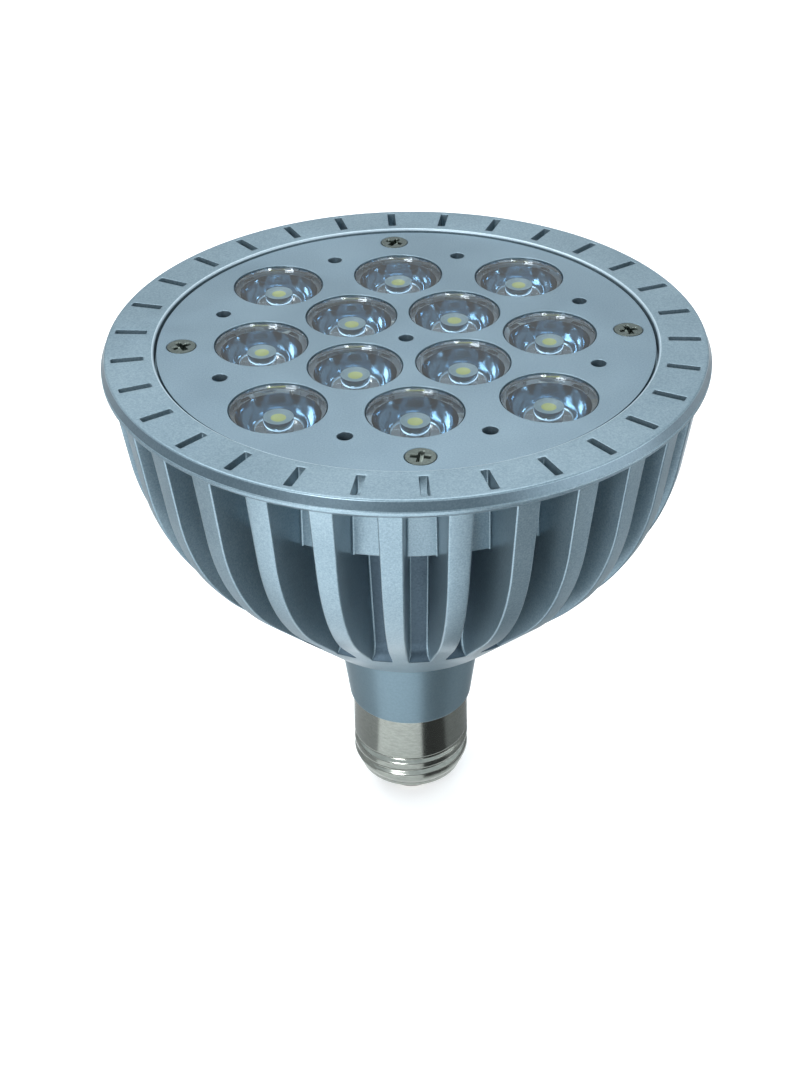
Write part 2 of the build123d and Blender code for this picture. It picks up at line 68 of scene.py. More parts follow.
DIAGONAL = 45.0  # degrees
QUARTERS = np.arange(4) * 90.0  # degrees

Array = np.ndarray
Range = tuple[float, float]
Colour = tuple[float, float, float]
Corner = tuple[float, float, float]
Node = bpy.types.Node
Tree = bpy.types.NodeTree
Socket = str | int
Link = tuple[Node, Socket, Node, Socket]


def tone(red: int, green: int, blue: int) -> Colour:
    """Linear colour of a display colour, by the display's transfer curve.

    Args:
        red: the display's red, from 0 to 255.
        green: its green, likewise.
        blue: its blue, likewise.

    Returns:
        The linear colour, with each share from 0 to 1.
    """
    share = np.array([red, green, blue]) / 255
    linear = np.where(share <= 0.04045, share / 12.92, ((share + 0.055) / 1.055) ** 2.4)
    return tuple(float(value) for value in linear)


# Surfaces


@dataclass
class Patch:
    """Piece of a surface: points in millimetres, four point numbers a face and a finish.

    Without a finish it takes the first one of its piece.
    """

    points: Array
    faces: Array
    finish: "Finish | None" = None

    def flipped(self) -> "Patch":
        """The same patch with its faces turned over."""
        return Patch(self.points, self.faces[:, ::-1], self.finish)

    def at(self, x: float, y: float) -> "Patch":
        """The same patch, shifted sideways."""
        return Patch(self.points + np.array([x, y, 0.0]), self.faces, self.finish)

    def dressed(self, finish: "Finish") -> "Patch":
        """The same patch with another finish of its piece."""
        return Patch(self.points, self.faces, finish)

    def copies(self, angles: Array) -> "Patch":
        """Copies turned about the axis.

        Args:
            angles: turn of each copy in degrees.

        Returns:
            One patch that holds all copies: x' = x cos a - y sin a and y' = x sin a + y cos a.
        """
        turn = np.radians(angles)[:, None]
        x, y, z = self.points.T
        turned_x = np.cos(turn) * x - np.sin(turn) * y
        turned_y = np.sin(turn) * x + np.cos(turn) * y
        points = np.stack([turned_x, turned_y, np.broadcast_to(z, turned_x.shape)], axis=-1)
        step = len(self.points) * np.arange(len(turn))[:, None, None]
        return Patch(points.reshape(-1, 3), (self.faces + step).reshape(-1, 4), self.finish)


def full_turn(steps: int) -> Array:
    """Angles spaced evenly round a full turn, in radians."""
    return np.linspace(0, 2 * np.pi, steps, endpoint=False)


def on_circle(angle: Array, radius: float | Array = 1.0) -> Array:
    """Points of a circle about the origin: x = r cos a, y = r sin a."""
    return radius * np.column_stack([np.cos(angle), np.sin(angle)])


def grid(x: Array, y: Array, z: Array, wrap: bool = False) -> Patch:
    """Patch over a grid of points, facing the cross product of its column and row directions.

    Args:
        x: x of the points by row and column; a single row or column spreads over the rest.
        y: y of the points, likewise.
        z: z of the points, likewise.
        wrap: joins the last column to the first.

    Returns:
        The patch.
    """
    points = np.stack(np.broadcast_arrays(x, y, z), axis=-1)
    rows, columns = points.shape[:2]
    number = np.arange(rows * columns).reshape(rows, columns)
    if wrap:
        number = np.hstack([number, number[:, :1]])
    corners = [number[:-1, :-1], number[:-1, 1:], number[1:, 1:], number[1:, :-1]]
    return Patch(points.reshape(-1, 3), np.stack(corners, axis=-1).reshape(-1, 4))


def turned(profile: Array, steps: int = ROUND_STEPS) -> Patch:
    """Profile carried round the axis: x = r cos a, y = r sin a.

    Args:
        profile: (radius, height) points; the surface faces right of the way along them.
        steps: facets round the axis.

    Returns:
        The patch.
    """
    angle = full_turn(steps)
    radius, height = profile[:, :1], profile[:, 1:]
    return grid(radius * np.cos(angle), radius * np.sin(angle), height, wrap=True)


def corner_arc(before: Array, spot: Array, after: Array, bend: float, steps: int) -> Array:
    """Arc that replaces a corner, tangent to both of its sides.

    The centre lies on the bisector of the sides, at bend / sin(half of the angle between them).

    Args:
        before: point before the corner.
        spot: the corner.
        after: point after the corner.
        bend: radius of the arc.
        steps: segments of the arc.

    Returns:
        Points of the arc.
    """
    back = (before - spot) / np.linalg.norm(before - spot)
    ahead = (after - spot) / np.linalg.norm(after - spot)
    half = 0.5 * np.arccos(np.clip(back @ ahead, -1, 1))
    centre = spot + (back + ahead) / np.linalg.norm(back + ahead) * bend / np.sin(half)
    start = spot + back * bend / np.tan(half) - centre
    end = spot + ahead * bend / np.tan(half) - centre
    first = np.arctan2(start[1], start[0])
    sweep = (np.arctan2(end[1], end[0]) - first + np.pi) % (2 * np.pi) - np.pi
    return centre + on_circle(first + sweep * np.linspace(0, 1, steps + 1), bend)


def rounded(corners: list[Corner], steps: int = 5) -> Array:
    """Outline through corners with their bends.

    Args:
        corners: (radius, height, bend) of each corner; the two ends have no bend.
        steps: segments of each arc.

    Returns:
        (radius, height) points.
    """
    spots = np.array(corners)[:, :2]
    bends = [bend for _, _, bend in corners[1:-1]]
    inner = [
        corner_arc(before, spot, after, bend, steps) if bend else spot[None]
        for before, spot, after, bend in zip(spots, spots[1:], spots[2:], bends)
    ]
    return np.vstack([spots[:1], *inner, spots[-1:]])


def ring_points(x: float, y: float, radius: float, count: int) -> Array:
    """Points of a circle about a place: x + r cos a, y + r sin a."""
    return np.array([x, y]) + on_circle(full_turn(count), radius)


def pierced_sheet(outer: Array, holes: list[Array], height: float) -> Patch:
    """Flat sheet inside an outline and outside its holes, as the triangles of a constrained triangulation.

    Args:
        outer: outline points.
        holes: outlines of the holes.
        height: the sheet's level.

    Returns:
        The patch, facing up.
    """
    loops = [outer, *holes]
    ends = np.cumsum([len(loop) for loop in loops])
    starts = ends - [len(loop) for loop in loops]
    edges = np.vstack([
        np.column_stack([np.arange(first, last), np.roll(np.arange(first, last), -1)])
        for first, last in zip(starts, ends)
    ])
    flat = [Vector(point) for point in np.vstack(loops)]
    spots, _, triangles, origin, _, _ = delaunay_2d_cdt(flat, edges.tolist(), [], 0, WELD_GAP)
    loop = np.searchsorted(ends, [source[0] for source in origin], side="right")
    corners = np.array(triangles)
    inside_hole = (loop[corners] == loop[corners][:, :1]).all(axis=1) & (loop[corners][:, 0] > 0)
    kept = corners[~inside_hole]
    points = np.column_stack([np.array(spots), np.full(len(spots), height)])
    return Patch(points, np.column_stack([kept, kept[:, 2]]))


def square_outline(half: float, bend: float, steps: int = 5) -> Array:
    """Square with rounded corners: four quarter circles of one radius about the inner corners.

    Args:
        half: half of the square's width.
        bend: radius of its corners.
        steps: segments of each corner.

    Returns:
        (x, y) points round the square.
    """
    quarter = np.radians(np.linspace(0, 90, steps + 1))
    angle = (quarter + np.radians(QUARTERS)[:, None]).ravel()
    corner = np.repeat(np.radians(DIAGONAL) + np.radians(QUARTERS), steps + 1)
    return on_circle(corner, (half - bend) * math.sqrt(2)) + on_circle(angle, bend)


def pillar(outline: Array, rows: Array) -> Patch:
    """Outline carried up an upright path, closed at both ends.

    Args:
        outline: (x, y) points round the pillar.
        rows: (scale of the outline, height) of each level, from the bottom up.

    Returns:
        The patch, with points (scale * x, scale * y, height).
    """
    path = np.vstack([[0, rows[0, 1]], rows, [0, rows[-1, 1]]])
    scale, height = path[:, :1], path[:, 1:]
    return grid(scale * outline[:, 0], scale * outline[:, 1], height, wrap=True)


def weld(patches: list[Patch], finishes: list["Finish"]) -> tuple[Array, list[list[int]], Array]:
    """Joins patches where their points meet.

    Args:
        patches: the patches of one piece.
        finishes: the finishes of the piece, the first for patches that name none.

    Returns:
        Points, faces without repeated corners, and the finish number of each face.
    """
    starts = np.cumsum([0] + [len(patch.points) for patch in patches])
    points = np.vstack([patch.points for patch in patches])
    faces = np.vstack([patch.faces + start for patch, start in zip(patches, starts)])
    numbers = [finishes.index(patch.finish or finishes[0]) for patch in patches]
    finish = np.repeat(numbers, [len(patch.faces) for patch in patches])
    rough = np.round(points / WELD_GAP)
    _, first, joined = np.unique(rough, axis=0, return_index=True, return_inverse=True)
    faces = joined.reshape(-1)[faces]
    repeated = faces == np.roll(faces, -1, axis=1)
    whole, three = repeated.sum(axis=1) == 0, repeated.sum(axis=1) == 1
    triangles = faces[three][~repeated[three]].reshape(-1, 3)
    finish = np.concatenate([finish[whole], finish[three]])
    return points[first], faces[whole].tolist() + triangles.tolist(), finish


def put(name: str, data: bpy.types.ID) -> bpy.types.Object:
    """Adds an object to the scene.

    Args:
        name: the object's name.
        data: its mesh, light or camera.

    Returns:
        The object.
    """
    added = bpy.data.objects.new(name, data)
    bpy.context.scene.collection.objects.link(added)
    return added


def make_piece(
    name: str, patches: list[Patch], finishes: list["Finish"], nodes: list[str]
) -> None:
    """Makes one piece of the lamp from its patches and puts it in place of CAD nodes.

    Args:
        name: the piece's name.
        patches: its surface.
        finishes: its finishes, the first for patches that name none.
        nodes: CAD nodes that it stands for.
    """
    points, faces, finish = weld(patches, finishes)
    mesh = bpy.data.meshes.new(name)
    mesh.from_pydata((points * MM).tolist(), [], faces)
    mesh.polygons.foreach_set("material_index", finish.astype(np.int32))
    mesh.polygons.foreach_set("use_smooth", np.ones(len(faces), dtype=bool))
    mesh.set_sharp_from_angle(angle=math.radians(SHARP_EDGE))
    for each in finishes:
        mesh.materials.append(each.material())
    piece = put(name, mesh)
    piece.modifiers.new("even_normals", "WEIGHTED_NORMAL").keep_sharp = True
    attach(piece, "root")
    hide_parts(*nodes)
    LOG.info("%s: %d faces for %s", name, len(faces), ", ".join(nodes))


def node_box(node: str) -> tuple[Array, Array]:
    """Lowest and highest corner of a CAD node in millimetres."""
    low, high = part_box(node)
    return np.array(low) / MM, np.array(high) / MM


# Finishes

BLOTCH_SCALE = 55.0  # slow blotches to a metre
BLOTCH_SHARE = 0.3  # of the tone
TONE_RANGE = (0.34, 0.66)  # of the noise, spread over both tones
MARK_SCALE = 32.0  # handling marks to a metre
MARK_RANGE = (0.42, 0.68)  # of the noise, from no mark to a full one
UNIT = (0.0, 1.0)  # the plain range

# Sockets of a Mix node, which share their names
MIX_VALUES = (2, 3)
MIX_COLOURS = (6, 7)
MIX_COLOUR_RESULT = 2


class Grain(Enum):
    """Stretch of a finish's grain along x, y and z."""

    CAST = (1.0, 1.0, 1.0)
    DRAWN = (0.6, 0.6, 1.6)


def add_node(
    tree: Tree,
    kind: str,
    sockets: dict[Socket, float | tuple[float, ...]] | None = None,
    **settings: str | Tree,
) -> Node:
    """Adds a shader node.

    Args:
        tree: node tree that it goes into.
        kind: Blender's type of the node, without the word ShaderNode.
        sockets: values of its inputs by name or number.
        settings: its own settings by name.

    Returns:
        The node.
    """
    node = tree.nodes.new(f"ShaderNode{kind}")
    for name, value in settings.items():
        setattr(node, name, value)
    for socket, value in (sockets or {}).items():
        node.inputs[socket].default_value = value
    return node


def remap(tree: Tree, of: Range = UNIT, to: Range = UNIT, soft: bool = False) -> Node:
    """Adds a node that carries the values of one range over to another.

    Args:
        tree: node tree that it goes into.
        of: range of its Value input.
        to: range of its Result.
        soft: eases in and out at the ends.

    Returns:
        The node.
    """
    sockets = {"From Min": of[0], "From Max": of[1], "To Min": to[0], "To Max": to[1]}
    return add_node(tree, "MapRange", sockets, interpolation_type="SMOOTHSTEP" if soft else "LINEAR")


def wire(tree: Tree, *links: Link) -> None:
    """Links nodes.

    Args:
        tree: the nodes' tree.
        links: for each, the source node, its output, the target node and its input.
    """
    for source, output, target, entry in links:
        tree.links.new(source.outputs[output], target.inputs[entry])


def effect_group(name: str, outputs: list[str]) -> tuple[Tree, Node, Node]:
    """Starts a shader node group that reads a vector and a scale and puts out values.

    Args:
        name: the group's name.
        outputs: names of its number outputs.

    Returns:
        The group's tree, its input node and its output node.
    """
    tree = bpy.data.node_groups.new(name, "ShaderNodeTree")
    tree.interface.new_socket("Vector", in_out="INPUT", socket_type="NodeSocketVector")
    tree.interface.new_socket("Scale", in_out="INPUT", socket_type="NodeSocketFloat")
    for each in outputs:
        tree.interface.new_socket(each, in_out="OUTPUT", socket_type="NodeSocketFloat")
    return tree, tree.nodes.new("NodeGroupInput"), tree.nodes.new("NodeGroupOutput")


def grain_group() -> Tree:
    """Grain of a surface: fine noise for the tone and the height, with a share of slow blotches in the tone.

    Returns:
        The node group, made once.
    """
    found = bpy.data.node_groups.get("surface_grain")
    if found:
        return found
    tree, entry, leave = effect_group("surface_grain", ["Tone", "Height"])
    fine = add_node(tree, "TexNoise", {"Detail": 3.0, "Roughness": 0.6})
    slow = add_node(tree, "TexNoise", {"Detail": 2.0, "Scale": BLOTCH_SCALE})
    mix = add_node(tree, "Mix", {0: BLOTCH_SHARE}, data_type="FLOAT")
    spread = remap(tree, TONE_RANGE)
    wire(
        tree,
        (entry, "Vector", fine, "Vector"),
        (entry, "Vector", slow, "Vector"),
        (entry, "Scale", fine, "Scale"),
        (fine, "Fac", mix, MIX_VALUES[0]),
        (slow, "Fac", mix, MIX_VALUES[1]),
        (mix, 0, spread, "Value"),
        (spread, "Result", leave, "Tone"),
        (fine, "Fac", leave, "Height"),
    )
    return tree


def handling_group() -> Tree:
    """Marks of handling: large soft patches where the surface is a little duller.

    Returns:
        The node group, made once.
    """
    found = bpy.data.node_groups.get("handling_marks")
    if found:
        return found
    tree, entry, leave = effect_group("handling_marks", ["Mask"])
    patch = add_node(tree, "TexNoise", {"Detail": 4.0, "Distortion": 0.8})
    spread = remap(tree, MARK_RANGE, soft=True)
    wire(
        tree,
        (entry, "Vector", patch, "Vector"),
        (entry, "Scale", patch, "Scale"),
        (patch, "Fac", spread, "Value"),
        (spread, "Result", leave, "Mask"),
    )
    return tree


@dataclass(frozen=True)
class Finish:
    """Opaque finish with two tones, a range of roughness and a grain.

    Attributes:
        name: the finish's name.
        light: tone of the high grain.
        dark: tone of the low grain.
        smooth: least roughness.
        dull: roughness on handling marks.
        metallic: share of metal.
        grain: stretch of the grain.
        grain_size: size of a grain in millimetres.
        relief: height of the grain in millimetres.
    """

    name: str
    light: Colour
    dark: Colour
    smooth: float = 0.35
    dull: float = 0.5
    metallic: float = 0.0
    grain: Grain = Grain.CAST
    grain_size: float = 0.5
    relief: float = 0.01

    def title(self) -> str:
        """Name of the finish's material, apart from the names of the CAD's materials."""
        return f"lamp_{self.name}"

    def shader(self) -> tuple[bpy.types.Material, Node]:
        """Makes the material with its tones, roughness and relief.

        Returns:
            The material and its shader node.
        """
        made = bpy.data.materials.new(self.title())
        made.use_nodes = True
        tree = made.node_tree
        shader = tree.nodes["Principled BSDF"]
        shader.inputs["Metallic"].default_value = self.metallic
        place = add_node(tree, "TexCoord")
        stretch = add_node(tree, "Mapping", {"Scale": self.grain.value})
        grain = add_node(tree, "Group", {"Scale": 1 / (self.grain_size * MM)}, node_tree=grain_group())
        marks = add_node(tree, "Group", {"Scale": MARK_SCALE}, node_tree=handling_group())
        tones = {MIX_COLOURS[0]: (*self.dark, 1), MIX_COLOURS[1]: (*self.light, 1)}
        colour = add_node(tree, "Mix", tones, data_type="RGBA")
        rough = remap(tree, to=(self.smooth, self.dull))
        bump = add_node(tree, "Bump", {"Distance": self.relief * MM, "Strength": 1.0})
        wire(
            tree,
            (place, "Object", stretch, "Vector"),
            (stretch, "Vector", grain, "Vector"),
            (place, "Object", marks, "Vector"),
            (grain, "Tone", colour, 0),
            (colour, MIX_COLOUR_RESULT, shader, "Base Color"),
            (marks, "Mask", rough, "Value"),
            (rough, "Result", shader, "Roughness"),
            (grain, "Height", bump, "Height"),
            (bump, "Normal", shader, "Normal"),
        )
        return made, shader

    def material(self) -> bpy.types.Material:
        """The finish's material, made once."""
        return bpy.data.materials.get(self.title()) or self.shader()[0]


@dataclass(frozen=True)
class ClearFinish(Finish):
    """Clear plastic that lets the lamps' light through to what lies under it.

    Attributes:
        index: index of refraction.
        shade: share of the lamps' light that it keeps back.
    """

    index: float = 1.49
    shade: float = 0.1

    def material(self) -> bpy.types.Material:
        """The clear material, made once.

        Returns:
            The material, with full transmission.
        """
        found = bpy.data.materials.get(self.title())
        if found:
            return found
        made, shader = self.shader()
        shader.inputs["Transmission Weight"].default_value = 1.0
        shader.inputs["IOR"].default_value = self.index
        path = add_node(made.node_tree, "LightPath")
        cover = remap(made.node_tree, to=(1.0, self.shade))
        wire(made.node_tree, (path, "Is Shadow Ray", cover, "Value"), (cover, "Result", shader, "Alpha"))
        return made


CAST_SILVER = Finish(
    "cast_silver", tone(136, 156, 167), tone(106, 127, 139), 0.30, 0.42, 0.65, grain_size=0.35
)
# Painted shade: a darker, plain tone inside the pan and on its bosses, under the plate.
PAN_PAINTED_SHADE = Finish("pan_painted_shade", tone(118, 138, 152), tone(98, 117, 131), 0.5, 0.6)
# Painted shade: a darker tone on the core, deep between the fins.
CORE_PAINTED_SHADE = Finish("core_painted_shade", tone(76, 93, 106), tone(61, 77, 89), 0.4, 0.5, 0.8)
# Painted shade: a darker tone on the rim's leaning band.
BAND_PAINTED_SHADE = Finish("band_painted_shade", tone(92, 110, 121), tone(74, 92, 103), 0.34, 0.46, 0.65, grain_size=0.35)
# Painted highlight: a lighter, less metallic tone on the ring's inner lip.
LIP_PAINTED_HIGHLIGHT = Finish("lip_painted_highlight", tone(172, 190, 200), tone(160, 178, 188), 0.34, 0.44, 0.4)
PLATE_SILVER = Finish(
    "plate_silver", tone(131, 151, 163), tone(109, 129, 142), 0.32, 0.42, 0.8, grain_size=0.3
)
NECK_SILVER = Finish("neck_silver", tone(118, 140, 151), tone(108, 130, 142), 0.38, 0.46, 0.8, relief=0.002)
SCREW_STEEL = Finish("screw_steel", tone(113, 122, 118), tone(83, 90, 85), 0.22, 0.34, 1.0, relief=0.004)
SHELL_NICKEL = Finish(
    "shell_nickel", tone(162, 166, 160), tone(142, 146, 140), 0.2, 0.28, 1.0, Grain.DRAWN, 0.8, 0.003
)
CONTACT_METAL = Finish("contact_tin", tone(190, 184, 172), tone(160, 152, 138), 0.25, 0.42, 1.0, relief=0.006)
INSULATOR_BLACK = Finish("insulator_black", tone(34, 32, 34), tone(20, 19, 21), 0.3, 0.45, relief=0.004)
BOARD_WHITE = Finish("board_white", tone(176, 186, 192), tone(160, 170, 176), 0.4, 0.5)
PAD_GREY = Finish("pad_grey", tone(150, 152, 156), tone(132, 134, 140), 0.7, 0.8)
PLATED_STEEL = Finish("plated_steel", tone(200, 198, 190), tone(172, 170, 160), 0.3, 0.45, 1.0)
SLEEVE_WHITE = Finish("sleeve_white", tone(226, 226, 220), tone(212, 212, 204), 0.45, 0.55)
DRIVER_GREEN = Finish("driver_green", tone(38, 92, 58), tone(28, 74, 46), 0.35, 0.5)
FERRITE = Finish("ferrite", tone(58, 58, 62), tone(42, 42, 46), 0.55, 0.7)
CAN_SKIN = Finish("can_skin", tone(36, 40, 58), tone(26, 28, 44), 0.35, 0.45)
MOULDING_BLACK = Finish("moulding_black", tone(40, 40, 42), tone(28, 28, 30), 0.45, 0.6)
RESISTOR_SKIN = Finish("resistor_skin", tone(92, 132, 150), tone(78, 114, 132), 0.4, 0.5)
LEAD_RED = Finish("lead_red", tone(176, 36, 32), tone(150, 28, 26), 0.4, 0.5)
LEAD_BLACK = Finish("lead_black", tone(36, 36, 38), tone(26, 26, 28), 0.4, 0.5)
EMITTER_BODY = Finish("emitter_body", tone(236, 236, 230), tone(224, 224, 216), 0.35, 0.45)
PHOSPHOR = Finish("phosphor", tone(226, 222, 96), tone(204, 198, 70), 0.4, 0.5, grain_size=0.15)
LENS_CLEAR = ClearFinish("lens_clear", tone(225, 237, 245), tone(219, 233, 242), 0.0, 0.015, relief=0.0002)
LEG_CLEAR = ClearFinish("leg_clear", tone(250, 252, 253), tone(244, 248, 250), 0.12, 0.2, relief=0.004)
SKIN_MIRROR = Finish("skin_mirror", tone(142, 164, 178), tone(134, 156, 171), 0.06, 0.12, 1.0, relief=0.0004)
# Painted refraction: pictures of the chip and of the emitter's body round it, painted on the lens's dome.
CHIP_PAINTED_REFRACTION = Finish("chip_painted_refraction", tone(164, 172, 104), tone(146, 154, 88), 0.3, 0.4, grain_size=0.15)
RING_PAINTED_REFRACTION = Finish("ring_painted_refraction", tone(122, 142, 149), tone(106, 126, 134), 0.3, 0.4, grain_size=0.2)

SINK_FINISHES = [CAST_SILVER, PAN_PAINTED_SHADE, CORE_PAINTED_SHADE, BAND_PAINTED_SHADE, LIP_PAINTED_HIGHLIGHT]
LENS_FINISHES = [LENS_CLEAR, LEG_CLEAR, CHIP_PAINTED_REFRACTION, RING_PAINTED_REFRACTION, SKIN_MIRROR]
EMITTER_FINISHES = [EMITTER_BODY, PHOSPHOR]
INNER_FINISHES = {
    "led_board": BOARD_WHITE,
    "led_board_screws": PLATED_STEEL,
    "thermal_pad": PAD_GREY,
    "neck_screws": PLATED_STEEL,
    "insulating_sleeve": SLEEVE_WHITE,
    "driver_board": DRIVER_GREEN,
    "transformer": FERRITE,
    "input_capacitor": CAN_SKIN,
    "output_capacitor": CAN_SKIN,
    "choke": FERRITE,
    "bridge_rectifier": MOULDING_BLACK,
    "fuse_resistor": RESISTOR_SKIN,
    "live_lead": LEAD_BLACK,
    "neutral_lead": LEAD_BLACK,
    "positive_lead": LEAD_RED,
    "negative_lead": LEAD_BLACK,
}


# Sub-assemblies


@dataclass
class HeatSink:
    """The casting: slotted ring, lens pan, tapered core, base and thirty fins."""

    ring_thick: float = 3.75
    ring_bevel: float = 1.0
    ring_lip: float = 0.42
    rim_bend: float = 0.45
    flange_edge: float = 0.2
    band_height: float = 2.0
    band_step: float = 0.12
    band_bend: float = 0.1
    band_set_back: float = 0.85
    outer_land: float = 2.15
    plate_gap: float = 0.5
    slot_length: float = 6.4
    slot_width: float = 1.65
    slot_bend: float = 0.3
    slot_lip: float = 0.1
    pan_wall: float = 1.5
    pan_ledge: float = 3.45
    pan_floor: float = 4.6
    pan_edge: float = 0.3
    pan_bend: float = 1.0
    seat_bend: float = 0.2
    pad_thick: float = 0.4
    floor_hole_r: float = 17.0
    core_inset: float = 9.0
    core_taper: float = 8.5
    core_wall: float = 3.0
    core_flare: float = 5.0
    gap_floor: float = 14.7
    base_thick: float = 4.0
    base_hole_r: float = 6.0
    collar_step: float = 0.3
    collar_height: float = 0.6
    collar_edge: float = 0.15
    foot_width: float = 6.8
    foot_rise: float = 2.7
    foot_round: float = 8.0
    knee_drop: float = 35.2
    knee_inset: float = 5.6
    knee_round: float = 50.0
    fin_count: int = 30
    fin_set_back: float = 1.4
    fin_thick: float = 4.6
    fin_draft: float = 0.75
    fin_edge: float = 0.35
    fin_edge_limit: float = 1 / 6  # of the fin's depth
    root_fillet: float = 0.4
    root_fillet_limit: float = 1 / 4  # of the fin's depth
    boss_r: float = 2.9
    boss_inset: float = 1.5
    boss_play: float = 0.05
    boss_steps: int = 48
    bowl_steps: int = 24
    flare_steps: int = 40
    bend_steps: int = 4
    arc_steps: int = 8
    side_steps: int = 4
    ring_shares: tuple[float, ...] = (0.25, 0.6, 1.0)  # loops from a slot's lip to its sector's edge
    fin_rows: int = 40
    fin_edge_points: int = 5
    fin_face_points: int = 3
    fin_side_shares: tuple[float, ...] = (0.3, 0.65)  # columns from a fin's face to its root

    def __post_init__(self) -> None:
        """Takes the main sizes from the frame and works out the rest."""
        low, high = node_box("heat_sink")
        plate_low, plate_high = node_box("face_plate")
        board_low, _ = node_box("led_board")
        _, neck_high = node_box("neck")
        self.base, self.top, self.ring_r = low[2], high[2], high[0]
        self.seat, self.plate_r = plate_low[2], plate_high[0]
        self.floor_top = board_low[2] - self.pad_thick
        self.collar_r = neck_high[0] + self.collar_step
        self.collar_top = self.base + self.collar_height
        self.base_top = self.base + self.base_thick
        self.under = self.top - self.ring_thick
        self.band_r = self.ring_r - self.band_set_back
        self.recess_r = self.plate_r + self.plate_gap
        self.pan_inner_r = self.plate_r - self.pan_ledge
        self.pan_r = self.pan_inner_r + self.pan_wall
        self.pan_under = self.floor_top - self.pan_floor
        self.slot_pitch = self.ring_r - self.outer_land - self.slot_length / 2
        self.core_top_r = self.pan_r - self.core_inset
        self.floor_z = self.base + self.gap_floor
        shrink = math.tan(math.radians(self.core_taper))
        self.core_foot_r = self.core_top_r - (self.pan_under - self.floor_z) * shrink
        self.foot_r = self.collar_r + self.foot_width

    def round_places(self, shift: float = 0.0) -> Array:
        """Angles of the slots in degrees, shifted by a share of their step."""
        return FRONT + (np.arange(self.fin_count) + shift) * 360 / self.fin_count

    def bowl(self) -> Array:
        """Outline of the bowl that the fins' outer edges lie on.

        Returns:
            (radius, height) points from the collar up to the ring.
        """
        return rounded([
            (self.collar_r, self.collar_top, 0),
            (self.foot_r, self.collar_top + self.foot_rise, self.foot_round),
            (self.ring_r - self.knee_inset, self.top - self.knee_drop, self.knee_round),
            (self.ring_r - self.fin_set_back, self.under, 0),
        ], self.bowl_steps)

    def core(self) -> Array:
        """Outline of the core between the fins.

        Returns:
            (radius, height) points from where its flare meets the bowl up to the pan.
        """
        flare = rounded([
            (self.pan_r, self.floor_z, 0),
            (self.core_foot_r, self.floor_z, self.core_flare),
            (self.core_top_r, self.pan_under, 0),
        ], self.flare_steps)
        bowl = self.bowl()
        return flare[flare[:, 0] <= np.interp(flare[:, 1], bowl[:, 1], bowl[:, 0])]

    def inner_strips(self) -> list[Patch]:
        """Turned surfaces from the ring's inner lip through pan, hollow, base and core to its underside.

        Returns:
            Lip with painted highlight, seat, pan with painted shade, skin of hollow and base, core with
            painted shade, pan's outside.
        """
        bowl, core = self.bowl(), self.core()
        gap_z = core[0, 1]
        gap_r = np.interp(gap_z, bowl[:, 1], bowl[:, 0])
        lip = rounded([
            (self.recess_r + self.ring_lip, self.top, 0),
            (self.recess_r, self.top, self.ring_lip),
            (self.recess_r, self.top - self.ring_lip, 0),
        ])
        seat = rounded([
            (self.recess_r, self.top - self.ring_lip, 0),
            (self.recess_r, self.seat, self.seat_bend),
            (self.pan_inner_r, self.seat, 0),
        ])
        pan = rounded([
            (self.pan_inner_r, self.seat, 0),
            (self.pan_inner_r, self.floor_top, self.pan_bend),
            (self.floor_hole_r, self.floor_top, self.pan_edge),
            (self.floor_hole_r, self.pan_under, 0),
        ])
        inside = rounded([
            (self.floor_hole_r, self.pan_under, 0),
            (self.core_top_r - self.core_wall, self.pan_under, 0),
            (self.core_foot_r - self.core_wall, self.floor_z + self.core_wall, 0),
            (self.foot_r - self.core_wall / 2, self.base_top, 0),
            (self.base_hole_r, self.base_top, 0),
            (self.base_hole_r, self.base, 0),
            (self.collar_r, self.base, self.collar_edge),
            (self.collar_r, self.collar_top, 0),
        ])
        outside = rounded([
            (*core[-2], 0),
            (self.core_top_r, self.pan_under, self.pan_edge),
            (self.pan_r, self.pan_under, self.pan_edge),
            (self.pan_r, self.under, self.pan_edge),
            (self.recess_r, self.under, 0),
        ])
        skin = np.vstack([inside, bowl[bowl[:, 1] < gap_z], [[gap_r, gap_z]], core[:1]])
        # The core's wall between the fins carries painted shade.
        painted_shade_core = np.vstack([core[:-1], outside[1:2]])
        # The lip carries a painted highlight; the pan and the core carry painted shade.
        return [
            turned(lip).dressed(LIP_PAINTED_HIGHLIGHT),
            turned(seat),
            turned(pan).dressed(PAN_PAINTED_SHADE),
            turned(skin),
            turned(painted_shade_core).dressed(CORE_PAINTED_SHADE),
            turned(outside[1:]),
        ]

    def rim_strips(self) -> list[Patch]:
        """Turned surfaces of the rim, from the ring's underside to its top.

        Returns:
            Flange, leaning band with painted shade, and top edge.
        """
        flange_top = self.top - self.band_height
        rim = rounded([
            (self.ring_r - self.ring_bevel, self.under, 0),
            (self.ring_r, self.under + self.ring_bevel, self.flange_edge),
            (self.ring_r, flange_top, self.flange_edge),
            (self.ring_r - self.band_step, flange_top, self.band_bend),
            (self.band_r, self.top, self.rim_bend),
            (self.band_r - self.rim_bend, self.top, 0),
        ])
        band = int(np.argmax(np.diff(rim[:, 1])))  # the outline's longest rise
        flange, edge = turned(rim[:band + 1]), turned(rim[band + 1:])
        # The band carries painted shade.
        return [flange, turned(rim[band:band + 2]).dressed(BAND_PAINTED_SHADE), edge]

